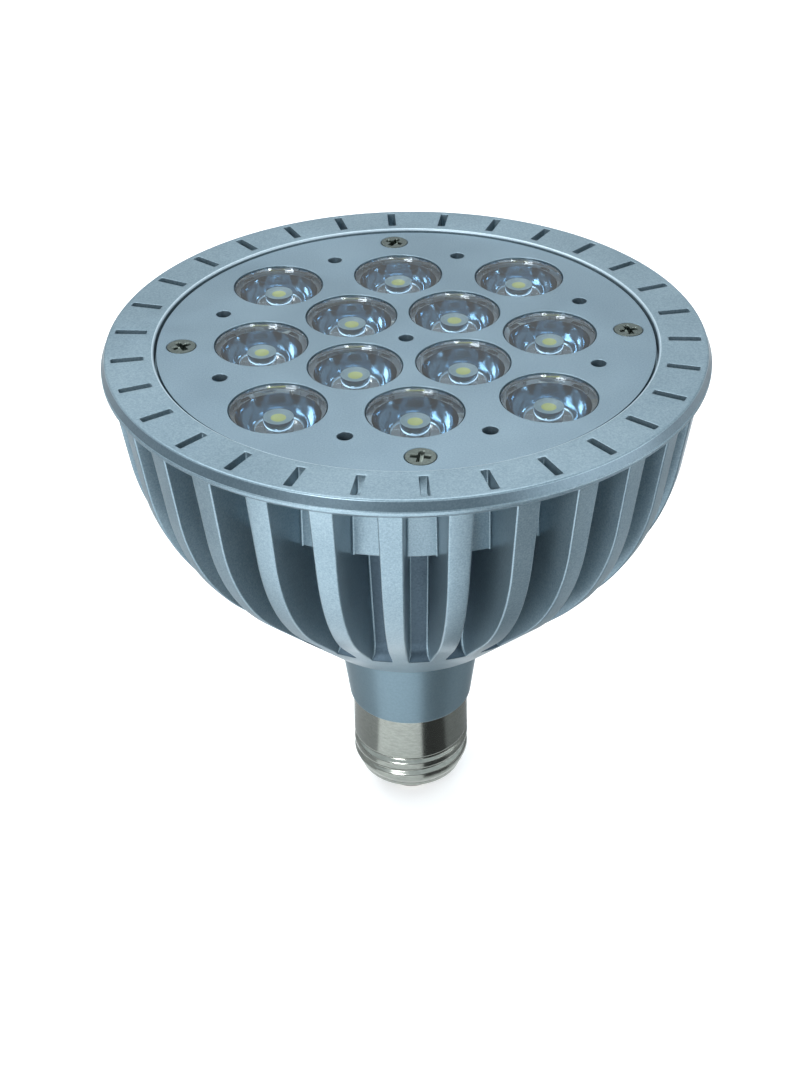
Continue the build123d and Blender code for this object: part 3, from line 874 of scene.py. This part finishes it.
    def slot_loop(self, offset: float) -> Array:
        """Outline of a slot about its middle: a rectangle with quarter-round corners.

        Args:
            offset: growth of the outline on all sides.

        Returns:
            (x, y) points round the slot.
        """
        reach, half = self.slot_length / 2 - self.slot_bend, self.slot_width / 2 - self.slot_bend
        bow = np.radians(np.linspace(0, 90, self.bend_steps))
        corner = on_circle(bow, self.slot_bend + offset)
        low_corner = np.array([reach, -half]) + corner[::-1] * [1, -1]
        high_corner = np.array([reach, half]) + corner
        end_y = np.linspace(-half, half, self.arc_steps + 1)[1:-1]
        end = np.column_stack([np.full(len(end_y), self.slot_length / 2 + offset), end_y])
        side_x = np.linspace(reach, -reach, self.side_steps)[1:-1]
        side = np.column_stack([side_x, np.full(len(side_x), self.slot_width / 2 + offset)])
        outer_half = np.vstack([low_corner, end, high_corner, side])
        return np.vstack([outer_half, -outer_half])

    def sector_loop(self, inner_r: float, outer_r: float) -> Array:
        """Outline of one slot's share of the ring, about the slot's middle: two arcs and two radial sides.

        Args:
            inner_r: the share's inner radius.
            outer_r: its outer radius.

        Returns:
            (x, y) points, point for point with slot_loop.
        """
        edge = math.radians(180 / self.fin_count)
        bow = np.linspace(-edge, edge, self.arc_steps + 1)[1:-1]
        corner = np.full(self.bend_steps, edge)
        run = np.linspace(outer_r, inner_r, self.side_steps)[1:-1]
        stay = np.ones(2 * self.bend_steps + len(bow))
        radius = np.concatenate([outer_r * stay, run, inner_r * stay, run[::-1]])
        angle = np.concatenate([-corner, bow, corner, np.full(len(run), edge)])
        angle = np.concatenate([angle, -angle])
        return on_circle(angle, radius[:, None]) - [self.slot_pitch, 0]

    def slotted_ring(self) -> Patch:
        """Top and underside of the ring with its slots.

        One sector is a grid of loops round a slot: from the sector's edge on the underside to the slot, up
        its wall, over its lip and out to the sector's edge on top. Loops between two edges are their
        weighted means.

        Returns:
            All sectors of the ring.
        """
        top_edge = self.sector_loop(self.recess_r + self.ring_lip, self.band_r - self.rim_bend)
        low_edge = self.sector_loop(self.recess_r, self.ring_r - self.ring_bevel)
        wall, lip = self.slot_loop(0), self.slot_loop(self.slot_lip)
        bow = np.radians(np.linspace(0, 90, self.bend_steps))
        under = [low_edge, (low_edge + wall) / 2, wall]
        over = [lip + share * (top_edge - lip) for share in self.ring_shares]
        bend = [self.slot_loop(self.slot_lip * (1 - math.cos(turn))) for turn in bow]
        bend_z = self.top - self.slot_lip + self.slot_lip * np.sin(bow)
        height = np.concatenate([[self.under] * len(under), bend_z, [self.top] * len(over)])
        flat = np.stack([*under, *bend, *over]) + np.array([self.slot_pitch, 0])
        sector = grid(flat[..., 0], flat[..., 1], height[:, None], wrap=True).flipped()
        return sector.copies(self.round_places())

    def fins(self) -> Patch:
        """Fins midway between the slots.

        Each level of a fin is a section across it: the outer face on the bowl's circle, x = sqrt(R^2 - y^2),
        with quarter-round edges, flat sides drafted towards the base, and fillets to the core or the pan's
        wall.

        Returns:
            All fins.
        """
        bowl, core = self.bowl(), self.core()
        start = np.interp(core[0, 1], bowl[:, 1], np.arange(len(bowl)))
        foot = [np.interp(start, np.arange(len(bowl)), axis) for axis in bowl.T]
        path = np.vstack([foot, bowl[int(start) + 1:]])
        length = np.concatenate([[0], np.cumsum(np.linalg.norm(np.diff(path, axis=0), axis=1))])
        step = np.interp(self.pan_under, path[:, 1], length) + np.array([-WELD_GAP, WELD_GAP])
        even = np.sort(np.concatenate([np.linspace(0, length[-1], self.fin_rows), step]))
        outer_r, level = np.interp(even, length, path[:, 0]), np.interp(even, length, path[:, 1])
        half = self.fin_thick / 2 - (self.under - level) * math.tan(math.radians(self.fin_draft))
        wall_r = np.where(level < self.pan_under, np.interp(level, core[:, 1], core[:, 0]), self.pan_r)
        fillet = np.minimum(self.root_fillet, (outer_r - wall_r) * self.root_fillet_limit)
        edge = np.minimum(self.fin_edge, (outer_r - wall_r) * self.fin_edge_limit)
        outer_r, half, wall_r, fillet, edge = (row[:, None] for row in (outer_r, half, wall_r, fillet, edge))
        bow = np.radians(np.linspace(90, 0, self.fin_edge_points))
        across = np.linspace(0, 1, self.fin_face_points, endpoint=False)
        face_y = np.hstack([(half - edge) * across, half - edge + edge * np.cos(bow)])
        set_back = np.hstack([0 * half * across, edge * (1 - np.sin(bow))])
        face_x = np.sqrt(outer_r**2 - face_y**2) - set_back
        side_x = face_x[:, -1:] + (wall_r + fillet - face_x[:, -1:]) * np.array(self.fin_side_shares)
        root_x = np.hstack([wall_r + fillet * (1 - np.sin(bow[::-1])), wall_r - self.pan_wall / 2])
        root_y = np.hstack([half + fillet * (1 - np.cos(bow[::-1])), half + fillet])
        x = np.hstack([face_x, side_x, root_x])
        y = np.hstack([face_y, np.broadcast_to(half, side_x.shape), root_y])
        x, y = np.hstack([x[:, :0:-1], x]), np.hstack([-y[:, :0:-1], y])
        return grid(x, y, level[:, None]).copies(self.round_places(0.5))

    def bosses(self) -> Patch:
        """Pillars in the pan that take the face plate's screws.

        Returns:
            The four pillars.
        """
        boss_top = self.seat - self.boss_play
        profile = [(self.boss_r, self.floor_top), (self.boss_r, boss_top), (0, boss_top)]
        boss = turned(np.array(profile), self.boss_steps)
        # The bosses take the pan's painted shade.
        return boss.at(self.pan_inner_r - self.boss_inset, 0).copies(QUARTERS).dressed(PAN_PAINTED_SHADE)

    def build(self) -> None:
        """Makes the casting."""
        patches = [*self.inner_strips(), *self.rim_strips(), self.slotted_ring(), self.fins(), self.bosses()]
        make_piece("heat_sink_casting", patches, SINK_FINISHES, ["heat_sink"])


@dataclass
class FacePlate:
    """Disc over the lenses, with lens holes, small holes and countersunk screws."""

    edge: float = 0.12
    lens_lip: float = 0.365
    small_hole_r: float = 1.5
    small_hole_inset: float = 10.65
    small_hole_spread: float = 19.9
    screw_inset: float = 4.95
    screw_play: float = 0.1
    head_r: float = 3.0
    head_edge: float = 0.15
    shank_r: float = 1.5
    shank_bend: float = 0.2
    cross_length: float = 3.8
    cross_width: float = 1.15
    cross_depth: float = 1.6
    cross_flank: float = 0.22
    cross_turns: tuple[float, ...] = (12.0, 57.0, 31.0, 78.0)  # degrees
    lens_steps: int = 120
    small_steps: int = 40
    sink_steps: int = 64
    head_rows: int = 44
    head_steps: int = 128

    def __post_init__(self) -> None:
        """Takes the plate and its lens places from the frame."""
        low, high = node_box("face_plate")
        self.seat, self.top, self.radius = low[2], high[2], high[0]
        boxes = [node_box(f"lens_{number:02d}") for number in range(1, LENS_COUNT + 1)]
        self.lens_places = [(lens_low + lens_high)[:2] / 2 for lens_low, lens_high in boxes]
        self.lens_hole_r = (boxes[0][1] - boxes[0][0])[0] / 2 - self.lens_lip
        self.screw_places = on_circle(np.radians(QUARTERS), self.radius - self.screw_inset)
        self.screw_low = node_box("face_plate_screws")[0][2]

    def small_places(self) -> Array:
        """Middles of the small holes: one on the axis and a pair beside each cross axis."""
        angle = np.concatenate([QUARTERS + self.small_hole_spread, QUARTERS - self.small_hole_spread])
        return np.vstack([[0, 0], on_circle(np.radians(angle), self.radius - self.small_hole_inset)])

    def hole_wall(self, radius: float, steps: int) -> Patch:
        """Turned wall of a hole, with a quarter-round lip at each face.

        Args:
            radius: radius of the hole.
            steps: facets round it.

        Returns:
            The wall about the axis.
        """
        return turned(rounded([
            (radius + self.edge, self.top, 0),
            (radius, self.top, self.edge),
            (radius, self.seat, self.edge),
            (radius + self.edge, self.seat, 0),
        ]), steps)

    def sheet(self, height: float, screw_r: float) -> Patch:
        """One face of the plate.

        Args:
            height: level of the face.
            screw_r: radius of the screw holes in it.

        Returns:
            The face with all its holes, facing up.
        """
        lens_r, small_r = self.lens_hole_r + self.edge, self.small_hole_r + self.edge
        holes = [ring_points(x, y, lens_r, self.lens_steps) for x, y in self.lens_places]
        holes += [ring_points(x, y, small_r, self.small_steps) for x, y in self.small_places()]
        holes += [ring_points(x, y, screw_r, self.sink_steps) for x, y in self.screw_places]
        return pierced_sheet(ring_points(0, 0, self.radius - self.edge, ROUND_STEPS), holes, height)

    def build_plate(self) -> None:
        """Makes the plate."""
        sink_r, shank_r = self.head_r + self.screw_play, self.shank_r + self.screw_play
        rim = turned(rounded([
            (self.radius - self.edge, self.seat, 0),
            (self.radius, self.seat, self.edge),
            (self.radius, self.top, self.edge),
            (self.radius - self.edge, self.top, 0),
        ]))
        cone = [(sink_r, self.top), (shank_r, self.top - (sink_r - shank_r)), (shank_r, self.seat)]
        sink = turned(np.array(cone), self.sink_steps)
        lens_hole = self.hole_wall(self.lens_hole_r, self.lens_steps)
        small_hole = self.hole_wall(self.small_hole_r, self.small_steps)
        patches = [self.sheet(self.top, sink_r), self.sheet(self.seat, shank_r).flipped(), rim]
        patches += [lens_hole.at(x, y) for x, y in self.lens_places]
        patches += [small_hole.at(x, y) for x, y in self.small_places()]
        patches += [sink.at(x, y) for x, y in self.screw_places]
        make_piece("face_plate_disc", patches, [PLATE_SILVER], ["face_plate"])

    def screw(self) -> Patch:
        """Countersunk screw about its own axis.

        The head's face is a polar grid whose height drops by the cross recess: the larger of two bars, each
        the product of two ramps along its length and width, deepest in the middle.

        Returns:
            Head and shank.
        """
        face_r = self.head_r - self.head_edge
        radius, angle = np.linspace(face_r, 0, self.head_rows)[:, None], full_turn(self.head_steps)
        x, y = radius * np.cos(angle), radius * np.sin(angle)
        along = np.clip((self.cross_length / 2 - np.abs([x, y])) / self.cross_flank, 0, 1)
        beside = np.clip((self.cross_width / 2 - np.abs([y, x])) / self.cross_flank, 0, 1)
        depth = self.cross_depth * (1 - radius / self.cross_length)
        face = grid(x, y, self.top - depth * (along * beside).max(axis=0), wrap=True)
        body = turned(rounded([
            (0, self.screw_low, 0),
            (self.shank_r, self.screw_low, self.shank_bend),
            (self.shank_r, self.top - (self.head_r - self.shank_r), 0),
            (self.head_r, self.top, self.head_edge / 2),
            (face_r, self.top, 0),
        ]), self.head_steps)
        points = np.vstack([face.points, body.points])
        return Patch(points, np.vstack([face.faces, body.faces + len(face.points)]))

    def build_screws(self) -> None:
        """Makes the four screws, each with its cross turned a little differently."""
        screw = self.screw()
        places = zip(self.cross_turns, self.screw_places)
        patches = [screw.copies(np.array([turn])).at(x, y) for turn, (x, y) in places]
        make_piece("face_plate_screw_set", patches, [SCREW_STEEL], ["face_plate_screws"])


@dataclass
class Optics:
    """Clear lens and emitter at each lens place."""

    flange: float = 1.4
    play: float = 0.1
    lip: float = 0.365
    face_play: float = 0.15
    body_r: float = 8.2
    tip_r: float = 4.6
    tip_lift: float = 2.6
    pocket_r: float = 2.9
    pocket_depth: float = 6.5
    pocket_bulge: float = 0.8
    spot_r: float = 1.45
    leg_width: float = 2.4
    leg_thick: float = 1.2
    leg_inset: float = 0.2
    leg_gap: float = 0.02
    leg_scales: Range = (0.8, 0.9)  # foot and head of a leg
    edge: float = 0.15
    emitter_bend: float = 0.35
    emitter_scales: Range = (0.97, 0.95)  # foot and top of the body
    chip_rise: float = 0.4
    chip_share: float = 0.72
    chip_scale: float = 0.92
    steps: int = 96
    bend_steps: int = 3
    dome_rows: int = 11
    cone_rows: int = 14

    def __post_init__(self) -> None:
        """Takes the level of the lens flanges from the face plate's seat."""
        self.flange_top = node_box("face_plate")[0][2] - self.play

    def lens_body(self, radius: float, board: float, top: float) -> list[Patch]:
        """Turned lens: domed pocket over the emitter, a parabola up to the flange, and a raised face.

        The parabola is r = tip_r + (body_r - tip_r) * sqrt(share of the height). The dome carries painted
        refraction: a picture of the chip and, round that, of the emitter, as the dome throws them up to its
        level.

        Args:
            radius: radius of the flange.
            board: level of the board.
            top: level of the raised face.

        Returns:
            Pocket, both parts of the dome, parabola, and flange with face.
        """
        tip, base = board + self.tip_lift, self.flange_top - self.flange
        face_r = radius - self.lip - self.face_play
        dome_r = np.linspace(0, self.pocket_r, self.dome_rows)
        dome_z = tip + self.pocket_depth - self.pocket_bulge * (1 - (dome_r / self.pocket_r) ** 2)
        dome = np.column_stack([dome_r, dome_z])
        rise = np.linspace(0, 1, self.cone_rows) ** 2
        cone_r = self.tip_r + (self.body_r - self.tip_r) * np.sqrt(rise)
        cone = np.column_stack([cone_r, tip + rise * (base - tip)])
        pocket = np.vstack([dome[-1:], [[self.pocket_r, tip]], cone[:1]])
        rim = rounded([
            (self.body_r, base, 0),
            (radius, base, self.edge),
            (radius, self.flange_top, self.edge),
            (face_r, self.flange_top, self.edge),
            (face_r, top, self.edge),
            (0, top, 0),
        ], self.bend_steps)
        spot = np.flatnonzero(dome_r <= self.spot_r + WELD_GAP)[-1]
        # The dome carries painted refraction of the chip and the emitter.
        return [
            turned(pocket, self.steps),
            turned(dome[:spot + 1], self.steps).dressed(CHIP_PAINTED_REFRACTION),
            turned(dome[spot:], self.steps).dressed(RING_PAINTED_REFRACTION),
            turned(cone, self.steps).dressed(SKIN_MIRROR),
            turned(rim, self.steps),
        ]

    def upright(self, outline: Array, scales: Range, low: float, high: float) -> Patch:
        """Pillar from one level to another, drawn in to a scale over the edge at its foot and at its top.

        Args:
            outline: (x, y) points round the pillar.
            scales: scale of the outline at the foot and at the top.
            low: level of the foot.
            high: level of the top.

        Returns:
            The patch.
        """
        rows = [(scales[0], low), (1, low + self.edge), (1, high - self.edge), (scales[1], high)]
        return pillar(outline, np.array(rows))

    def legs(self, radius: float, board: float) -> Patch:
        """Four upright legs under the flange: rounded squares, stretched to the leg's width.

        Args:
            radius: radius of the flange.
            board: level of the board.

        Returns:
            The legs about the lens's axis.
        """
        base = self.flange_top - self.flange - self.leg_gap
        outline = square_outline(self.leg_thick / 2, 2 * self.edge, self.bend_steps)
        leg = self.upright(outline, self.leg_scales, board, base)
        leg.points[:, 1] *= self.leg_width / self.leg_thick
        pitch = radius - self.leg_inset - self.leg_thick / 2
        return leg.at(pitch, 0).copies(DIAGONAL + QUARTERS).dressed(LEG_CLEAR)

    def emitter(self, size: float, board: float, top: float) -> list[Patch]:
        """Emitter about its own axis: rounded white body with the raised yellow chip on it.

        Args:
            size: width of the body.
            board: level of the board.
            top: level of the chip's face.

        Returns:
            Body and chip.
        """
        seat = top - self.chip_rise
        body = self.upright(square_outline(size / 2, self.emitter_bend), self.emitter_scales, board, seat)
        chip_rows = np.array([(1, seat - self.edge), (1, top - self.edge), (self.chip_scale, top)])
        chip = pillar(square_outline(size * self.chip_share / 2, self.emitter_bend), chip_rows)
        return [body, chip.dressed(PHOSPHOR)]

    def build(self) -> None:
        """Makes the lenses and emitters from the boxes of their nodes."""
        for number in range(1, LENS_COUNT + 1):
            lens, led = f"lens_{number:02d}", f"led_{number:02d}"
            low, high = node_box(lens)
            led_low, led_high = node_box(led)
            x, y = (low + high)[:2] / 2
            radius, size = (high - low)[0] / 2, (led_high - led_low)[0]
            clear = [*self.lens_body(radius, low[2], high[2]), self.legs(radius, low[2])]
            clear = [patch.at(x, y) for patch in clear]
            make_piece(f"clear_{lens}", clear, LENS_FINISHES, [lens])
            chip = [patch.at(x, y) for patch in self.emitter(size, led_low[2], led_high[2])]
            make_piece(f"emitter_{number:02d}", chip, EMITTER_FINISHES, [led])


@dataclass
class Neck:
    """Smooth tapered neck between heat sink and cap."""

    low_round: float = 0.8
    top_edge: float = 0.2
    flare: float = 2.4
    wall: float = 3.2
    spigot_wall: float = 2.0
    spigot_r: float = 11.75
    steps: int = 160

    def build(self) -> None:
        """Makes the neck with the spigot inside the shell."""
        low, high = node_box("neck")
        cap_top = node_box("screw_shell")[1][2]
        top_r, bore_r, inner_r = high[0], high[0] - self.wall, self.spigot_r - self.spigot_wall
        profile = rounded([
            (bore_r, high[2], 0),
            (bore_r, cap_top + 2 * self.wall, 0),
            (inner_r, cap_top + self.wall, 0),
            (inner_r, low[2], 0),
            (self.spigot_r, low[2], 0),
            (self.spigot_r, cap_top, 0),
            (top_r - self.flare, cap_top, self.low_round),
            (top_r, high[2], self.top_edge),
            (bore_r, high[2], 0),
        ])
        make_piece("neck_cone", [turned(profile, self.steps)], [NECK_SILVER], ["neck"])


@dataclass
class ScrewCap:
    """Screw shell with its coarse round thread, insulator and centre contact."""

    wall: float = 0.4
    collar: float = 10.65
    pitch: float = 3.63
    turns: float = 2.0
    thread_depth: float = 1.0
    groove_power: float = 2.4
    groove_start: float = 1 / 3  # of a pitch above the thread's low end
    groove_fade: float = 0.5  # of a pitch
    groove_run_out: float = 0.6
    end_height: float = 1 / 4  # of a pitch above the thread's low end
    top_edge: float = 0.3
    edge_points: tuple[Range, ...] = ((0.1, 0.05), (0.25, 0.0))  # in from the radius and down from the top
    wall_slack: float = 0.01
    lip_r: float = 10.6
    lip_bend: float = 1.2
    lip_edge: float = 0.2
    tip_r: float = 5.6
    tip_edge: float = 0.3
    cone_bend: float = 0.8
    seat_sink: float = 0.4
    contact_thick: float = 1.6
    contact_bend: float = 1.0
    contact_edge: float = 0.1
    rivet_r: float = 1.5
    rivet_bend: float = 0.3
    play: float = 0.1
    flange: float = 1.0
    shell_steps: int = 160
    wall_rows: int = 150
    insulator_steps: int = 120
    contact_steps: int = 96

    def shell_wall(self) -> Patch:
        """Shell whose thread is a wave round the axis.

        The radius is that of the plain outline, less
        depth * mask * ((1 + cos(2 pi z / pitch - a)) / 2)^power, where the mask fades in and out at the ends
        of the threaded height. So the groove climbs with the angle.

        Returns:
            The shell's outside and inside.
        """
        low, high = node_box("screw_shell")
        radius, top, thread_top = high[0], high[2], high[2] - self.collar
        thread_low = thread_top - self.turns * self.pitch
        groove_low = thread_low + self.pitch * self.groove_start
        end = rounded([
            (self.lip_r, low[2], 0),
            (self.lip_r + self.wall, low[2], self.lip_edge),
            (radius - self.wall, thread_low, self.lip_bend),
            (radius - self.wall, thread_low + self.pitch * self.end_height, 0),
        ])
        level = np.linspace(groove_low, top - self.top_edge, self.wall_rows)
        wall = np.column_stack([np.full(self.wall_rows, radius), level])
        inner_r = radius - self.thread_depth - self.wall
        close = [(radius - inward, top - down) for inward, down in self.edge_points]
        close += [(inner_r, top), (inner_r, low[2] + 2 * self.wall)]
        close += [(self.lip_r, low[2] + self.wall), (self.lip_r, low[2])]
        outline = np.vstack([end, wall, close])
        plain_r, height, angle = outline[:, :1], outline[:, 1:], full_turn(self.shell_steps)
        fade = self.groove_fade * self.pitch
        fade_in = np.clip((height - groove_low) / fade, 0, 1)
        fade_out = np.clip((thread_top + self.groove_run_out - height) / fade, 0, 1)
        mask = fade_in * fade_out * (plain_r > radius - self.wall_slack)
        wave = 0.5 + 0.5 * np.cos(2 * np.pi * (height - thread_low) / self.pitch - angle)
        reach = plain_r - self.thread_depth * mask * wave**self.groove_power
        return grid(reach * np.cos(angle), reach * np.sin(angle), height, wrap=True)

    def insulator(self, contact_r: float) -> Patch:
        """Turned insulator in the end of the shell, with a seat and a hole for the contact.

        Args:
            contact_r: radius of the contact.

        Returns:
            The insulator.
        """
        _, high = node_box("cap_insulator")
        lip, seat = node_box("screw_shell")[0][2], self.contact_thick - self.seat_sink
        hole_r, cone_r, flange_low = self.rivet_r + self.play, self.lip_r - self.play, high[2] - self.flange
        return turned(rounded([
            (hole_r, self.contact_thick, 0),
            (contact_r + self.play, self.contact_thick, 0),
            (contact_r + self.play, seat, 0),
            (self.tip_r, seat, self.tip_edge),
            (cone_r, lip, self.cone_bend),
            (cone_r, flange_low, 0),
            (high[0], flange_low, 0),
            (high[0], high[2], 0),
            (hole_r, high[2], 0),
            (hole_r, self.contact_thick, 0),
        ]), self.insulator_steps)

    def build(self) -> None:
        """Makes the shell, the insulator and the contact."""
        low, high = node_box("centre_contact")
        make_piece("screw_shell_thread", [self.shell_wall()], [SHELL_NICKEL], ["screw_shell"])
        cone = self.insulator(high[0])
        make_piece("cap_insulator_cone", [cone], [INSULATOR_BLACK], ["cap_insulator"])
        button = turned(rounded([
            (0, low[2], 0),
            (high[0], low[2], self.contact_bend),
            (high[0], self.contact_thick, self.contact_edge),
            (self.rivet_r, self.contact_thick, 0),
            (self.rivet_r, high[2], self.rivet_bend),
            (0, high[2], 0),
        ]), self.contact_steps)
        make_piece("contact_button", [button], [CONTACT_METAL], ["centre_contact"])


def dress_inner_nodes(nodes: dict[str, bpy.types.Object]) -> None:
    """Gives the nodes that keep their CAD mesh their finishes.

    Args:
        nodes: the frame's objects by name.
    """
    for name, finish in INNER_FINISHES.items():
        mesh = nodes[name].data
        mesh.materials.clear()
        mesh.materials.append(finish.material())
        LOG.info("%s: CAD mesh with %s", name, finish.name)


# Studio


@dataclass
class SoftBox:
    """Soft area light, in millimetres and watts."""

    name: str
    place: tuple[float, float, float]
    size: tuple[float, float]
    power: float

    def build(self, target: Vector) -> None:
        """Puts the light in its place, facing the target.

        Args:
            target: the place that it faces, in metres.
        """
        lamp = bpy.data.lights.new(self.name, "AREA")
        lamp.shape = "RECTANGLE"
        lamp.size, lamp.size_y = self.size[0] * MM, self.size[1] * MM
        lamp.energy = self.power
        box = put(self.name, lamp)
        box.location = Vector(self.place) * MM
        box.rotation_euler = (target - box.location).to_track_quat("-Z", "Y").to_euler()


@dataclass
class Flag:
    """Card on the floor round the lamp, from one angle to another, that only reflections see."""

    name: str
    start: float
    end: float
    shade: float
    inner_r: float = 22.0
    outer_r: float = 170.0
    lift: float = 1.0
    height: float = 75.0
    steps: int = 40

    def build(self) -> None:
        """Makes the card: a profile out along the floor and up to a wall, carried round the axis."""
        reach = np.array([self.inner_r, self.outer_r, self.outer_r])[:, None]
        level = np.array([self.lift, self.lift, self.height])[:, None]
        angle = np.radians(np.linspace(self.start, self.end, self.steps + 1))
        card = grid(reach * np.cos(angle), reach * np.sin(angle), level)
        mesh = bpy.data.meshes.new(self.name)
        mesh.from_pydata((card.points * MM).tolist(), [], card.faces.tolist())
        flag = put(self.name, mesh)
        made = bpy.data.materials.new(self.name)
        made.use_nodes = True
        made.node_tree.nodes["Principled BSDF"].inputs["Base Color"].default_value = (*[self.shade] * 3, 1)
        mesh.materials.append(made)
        flag.visible_camera = flag.visible_diffuse = False
        flag.visible_shadow = flag.visible_transmission = False


@dataclass
class Studio:
    """Pale floor, soft light and the camera at the photograph's angle.

    The camera looks at the middle of the ring's top from the given distance and elevation. That middle lies
    at centre_px of an image of image_px, and focal_px is the focal length in its pixels.
    """

    distance: float = 348.05
    elevation: float = 28.018
    roll: float = 0.727
    turn: float = -3.0
    focal_px: float = 1720.9
    centre_px: tuple[float, float] = (405.98, 335.15)
    image_px: tuple[int, int] = (810, 1080)
    sensor: float = 36.0
    clip: Range = (0.01, 50.0)  # metres
    floor_half: float = 3000.0
    floor_tone: float = 0.9
    floor_rough: float = 0.9
    floor_glow: float = 0.3
    pool_place: tuple[float, float] = (-150.0, -300.0)
    pool_reach: float = 320.0
    pool_glow: float = 1.6
    sky_colour: Colour = (0.88, 0.96, 1.0)
    sky_rise: Range = (0.1, 0.5)  # heights in the sky between which it brightens
    sky_strength: Range = (0.18, 1.0)
    flags: tuple[Flag, ...] = (
        Flag("flag_black", -75.0, -32.0, 0.01),
        Flag("flag_right", -32.0, 40.0, 0.25),
        Flag("flag_left", -225.0, -150.0, 0.4),
    )
    lights: tuple[SoftBox, ...] = (
        SoftBox("sky_box", (-150, 300, 850), (900, 520), 4.8),
        SoftBox("key_box", (-430, -740, 520), (320, 320), 4.5),
        SoftBox("right_box", (620, -330, 170), (700, 260), 2.2),
    )

    def floor_material(self) -> bpy.types.Material:
        """The floor's material: pale, with a pool of light on it, and open from below.

        Returns:
            The material.
        """
        made = bpy.data.materials.new("floor_white")
        made.use_nodes = True
        tree = made.node_tree
        shader = tree.nodes["Principled BSDF"]
        shader.inputs["Base Color"].default_value = (*[self.floor_tone] * 3, 1)
        shader.inputs["Roughness"].default_value = self.floor_rough
        shader.inputs["Emission Strength"].default_value = 1.0
        middle = (self.pool_place[0] * MM, self.pool_place[1] * MM, 0)
        area = {"Location": middle, "Scale": [self.pool_reach * MM] * 3}
        place = add_node(tree, "TexCoord")
        pool = add_node(tree, "Mapping", area, vector_type="TEXTURE")
        fall = add_node(tree, "TexGradient", gradient_type="SPHERICAL")
        glow = remap(tree, to=(self.floor_glow, self.pool_glow), soft=True)
        side, seen = add_node(tree, "NewGeometry"), remap(tree, to=(1.0, 0.0))
        wire(
            tree,
            (place, "Object", pool, "Vector"),
            (pool, "Vector", fall, "Vector"),
            (fall, "Fac", glow, "Value"),
            (glow, "Result", shader, "Emission Color"),
            (side, "Backfacing", seen, "Value"),
            (seen, "Result", shader, "Alpha"),
        )
        return made

    def build_floor(self) -> None:
        """Makes a large floor under the lamp."""
        half = self.floor_half * MM
        mesh = bpy.data.meshes.new("floor")
        corners = [(-half, -half, 0), (half, -half, 0), (half, half, 0), (-half, half, 0)]
        mesh.from_pydata(corners, [], [(0, 1, 2, 3)])
        mesh.materials.append(self.floor_material())
        floor = put("floor", mesh)

    def build_world(self) -> None:
        """Makes the surroundings: dark towards the horizon, bright overhead, plain white behind the lamp."""
        world = bpy.data.worlds.new("studio")
        bpy.context.scene.world = world
        world.use_nodes = True
        tree = world.node_tree
        back, leave = tree.nodes["Background"], tree.nodes["World Output"]
        back.inputs["Color"].default_value = (*self.sky_colour, 1)
        place, split = add_node(tree, "TexCoord"), add_node(tree, "SeparateXYZ")
        ramp = remap(tree, self.sky_rise, self.sky_strength, soft=True)
        plain = add_node(tree, "Background", {"Color": (1, 1, 1, 1)})
        path, mix = add_node(tree, "LightPath"), add_node(tree, "MixShader")
        wire(
            tree,
            (place, "Generated", split, "Vector"),
            (split, "Z", ramp, "Value"),
            (ramp, "Result", back, "Strength"),
            (path, "Is Camera Ray", mix, 0),
            (back, "Background", mix, 1),
            (plain, "Background", mix, 2),
            (mix, "Shader", leave, "Surface"),
        )

    def build_camera(self, middle: Vector) -> None:
        """Makes the camera.

        Args:
            middle: middle of the ring's top, in metres.
        """
        high = math.radians(self.elevation)
        upward, backward = (0, math.sin(high), math.cos(high)), (0, -math.cos(high), math.sin(high))
        axes = Matrix(((1, 0, 0), upward, backward))
        across = (self.centre_px[0] - self.image_px[0] / 2) / self.focal_px
        up = (self.image_px[1] / 2 - self.centre_px[1]) / self.focal_px
        aim = Vector((0, 0, -1)).rotation_difference(Vector((across, up, -1)).normalized()).to_matrix()
        roll = Matrix.Rotation(math.radians(self.roll), 3, "Z")
        turn = Matrix.Rotation(math.radians(self.turn), 3, "Z")
        view = turn @ (aim @ roll @ axes).transposed()
        lens = bpy.data.cameras.new("camera")
        lens.sensor_width = self.sensor
        lens.lens = self.focal_px / max(self.image_px) * self.sensor
        lens.clip_start, lens.clip_end = self.clip
        camera = put("camera", lens)
        place = middle + turn @ axes[2] * self.distance * MM
        camera.matrix_world = Matrix.Translation(place) @ view.to_4x4()
        bpy.context.scene.camera = camera

    def build(self, middle: Vector) -> None:
        """Makes floor, surroundings, lights and camera.

        Args:
            middle: middle of the ring's top, in metres.
        """
        bpy.context.scene.view_settings.view_transform = "Standard"
        self.build_floor()
        for flag in self.flags:
            flag.build()
        self.build_world()
        for light in self.lights:
            light.build(middle)
        self.build_camera(middle)
        LOG.info("studio: %d lights", len(self.lights))


def main() -> None:
    """Builds the lamp on its frame, piece by piece, and the studio round it."""
    logging.basicConfig(level=logging.INFO, format="%(message)s")
    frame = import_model()
    ring_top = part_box("heat_sink")[1].z
    HeatSink().build()
    plate = FacePlate()
    plate.build_plate()
    plate.build_screws()
    Optics().build()
    Neck().build()
    ScrewCap().build()
    dress_inner_nodes(frame["nodes"])
    Studio().build(Vector((0, 0, ring_top)))


if __name__ == "__main__":
    main()
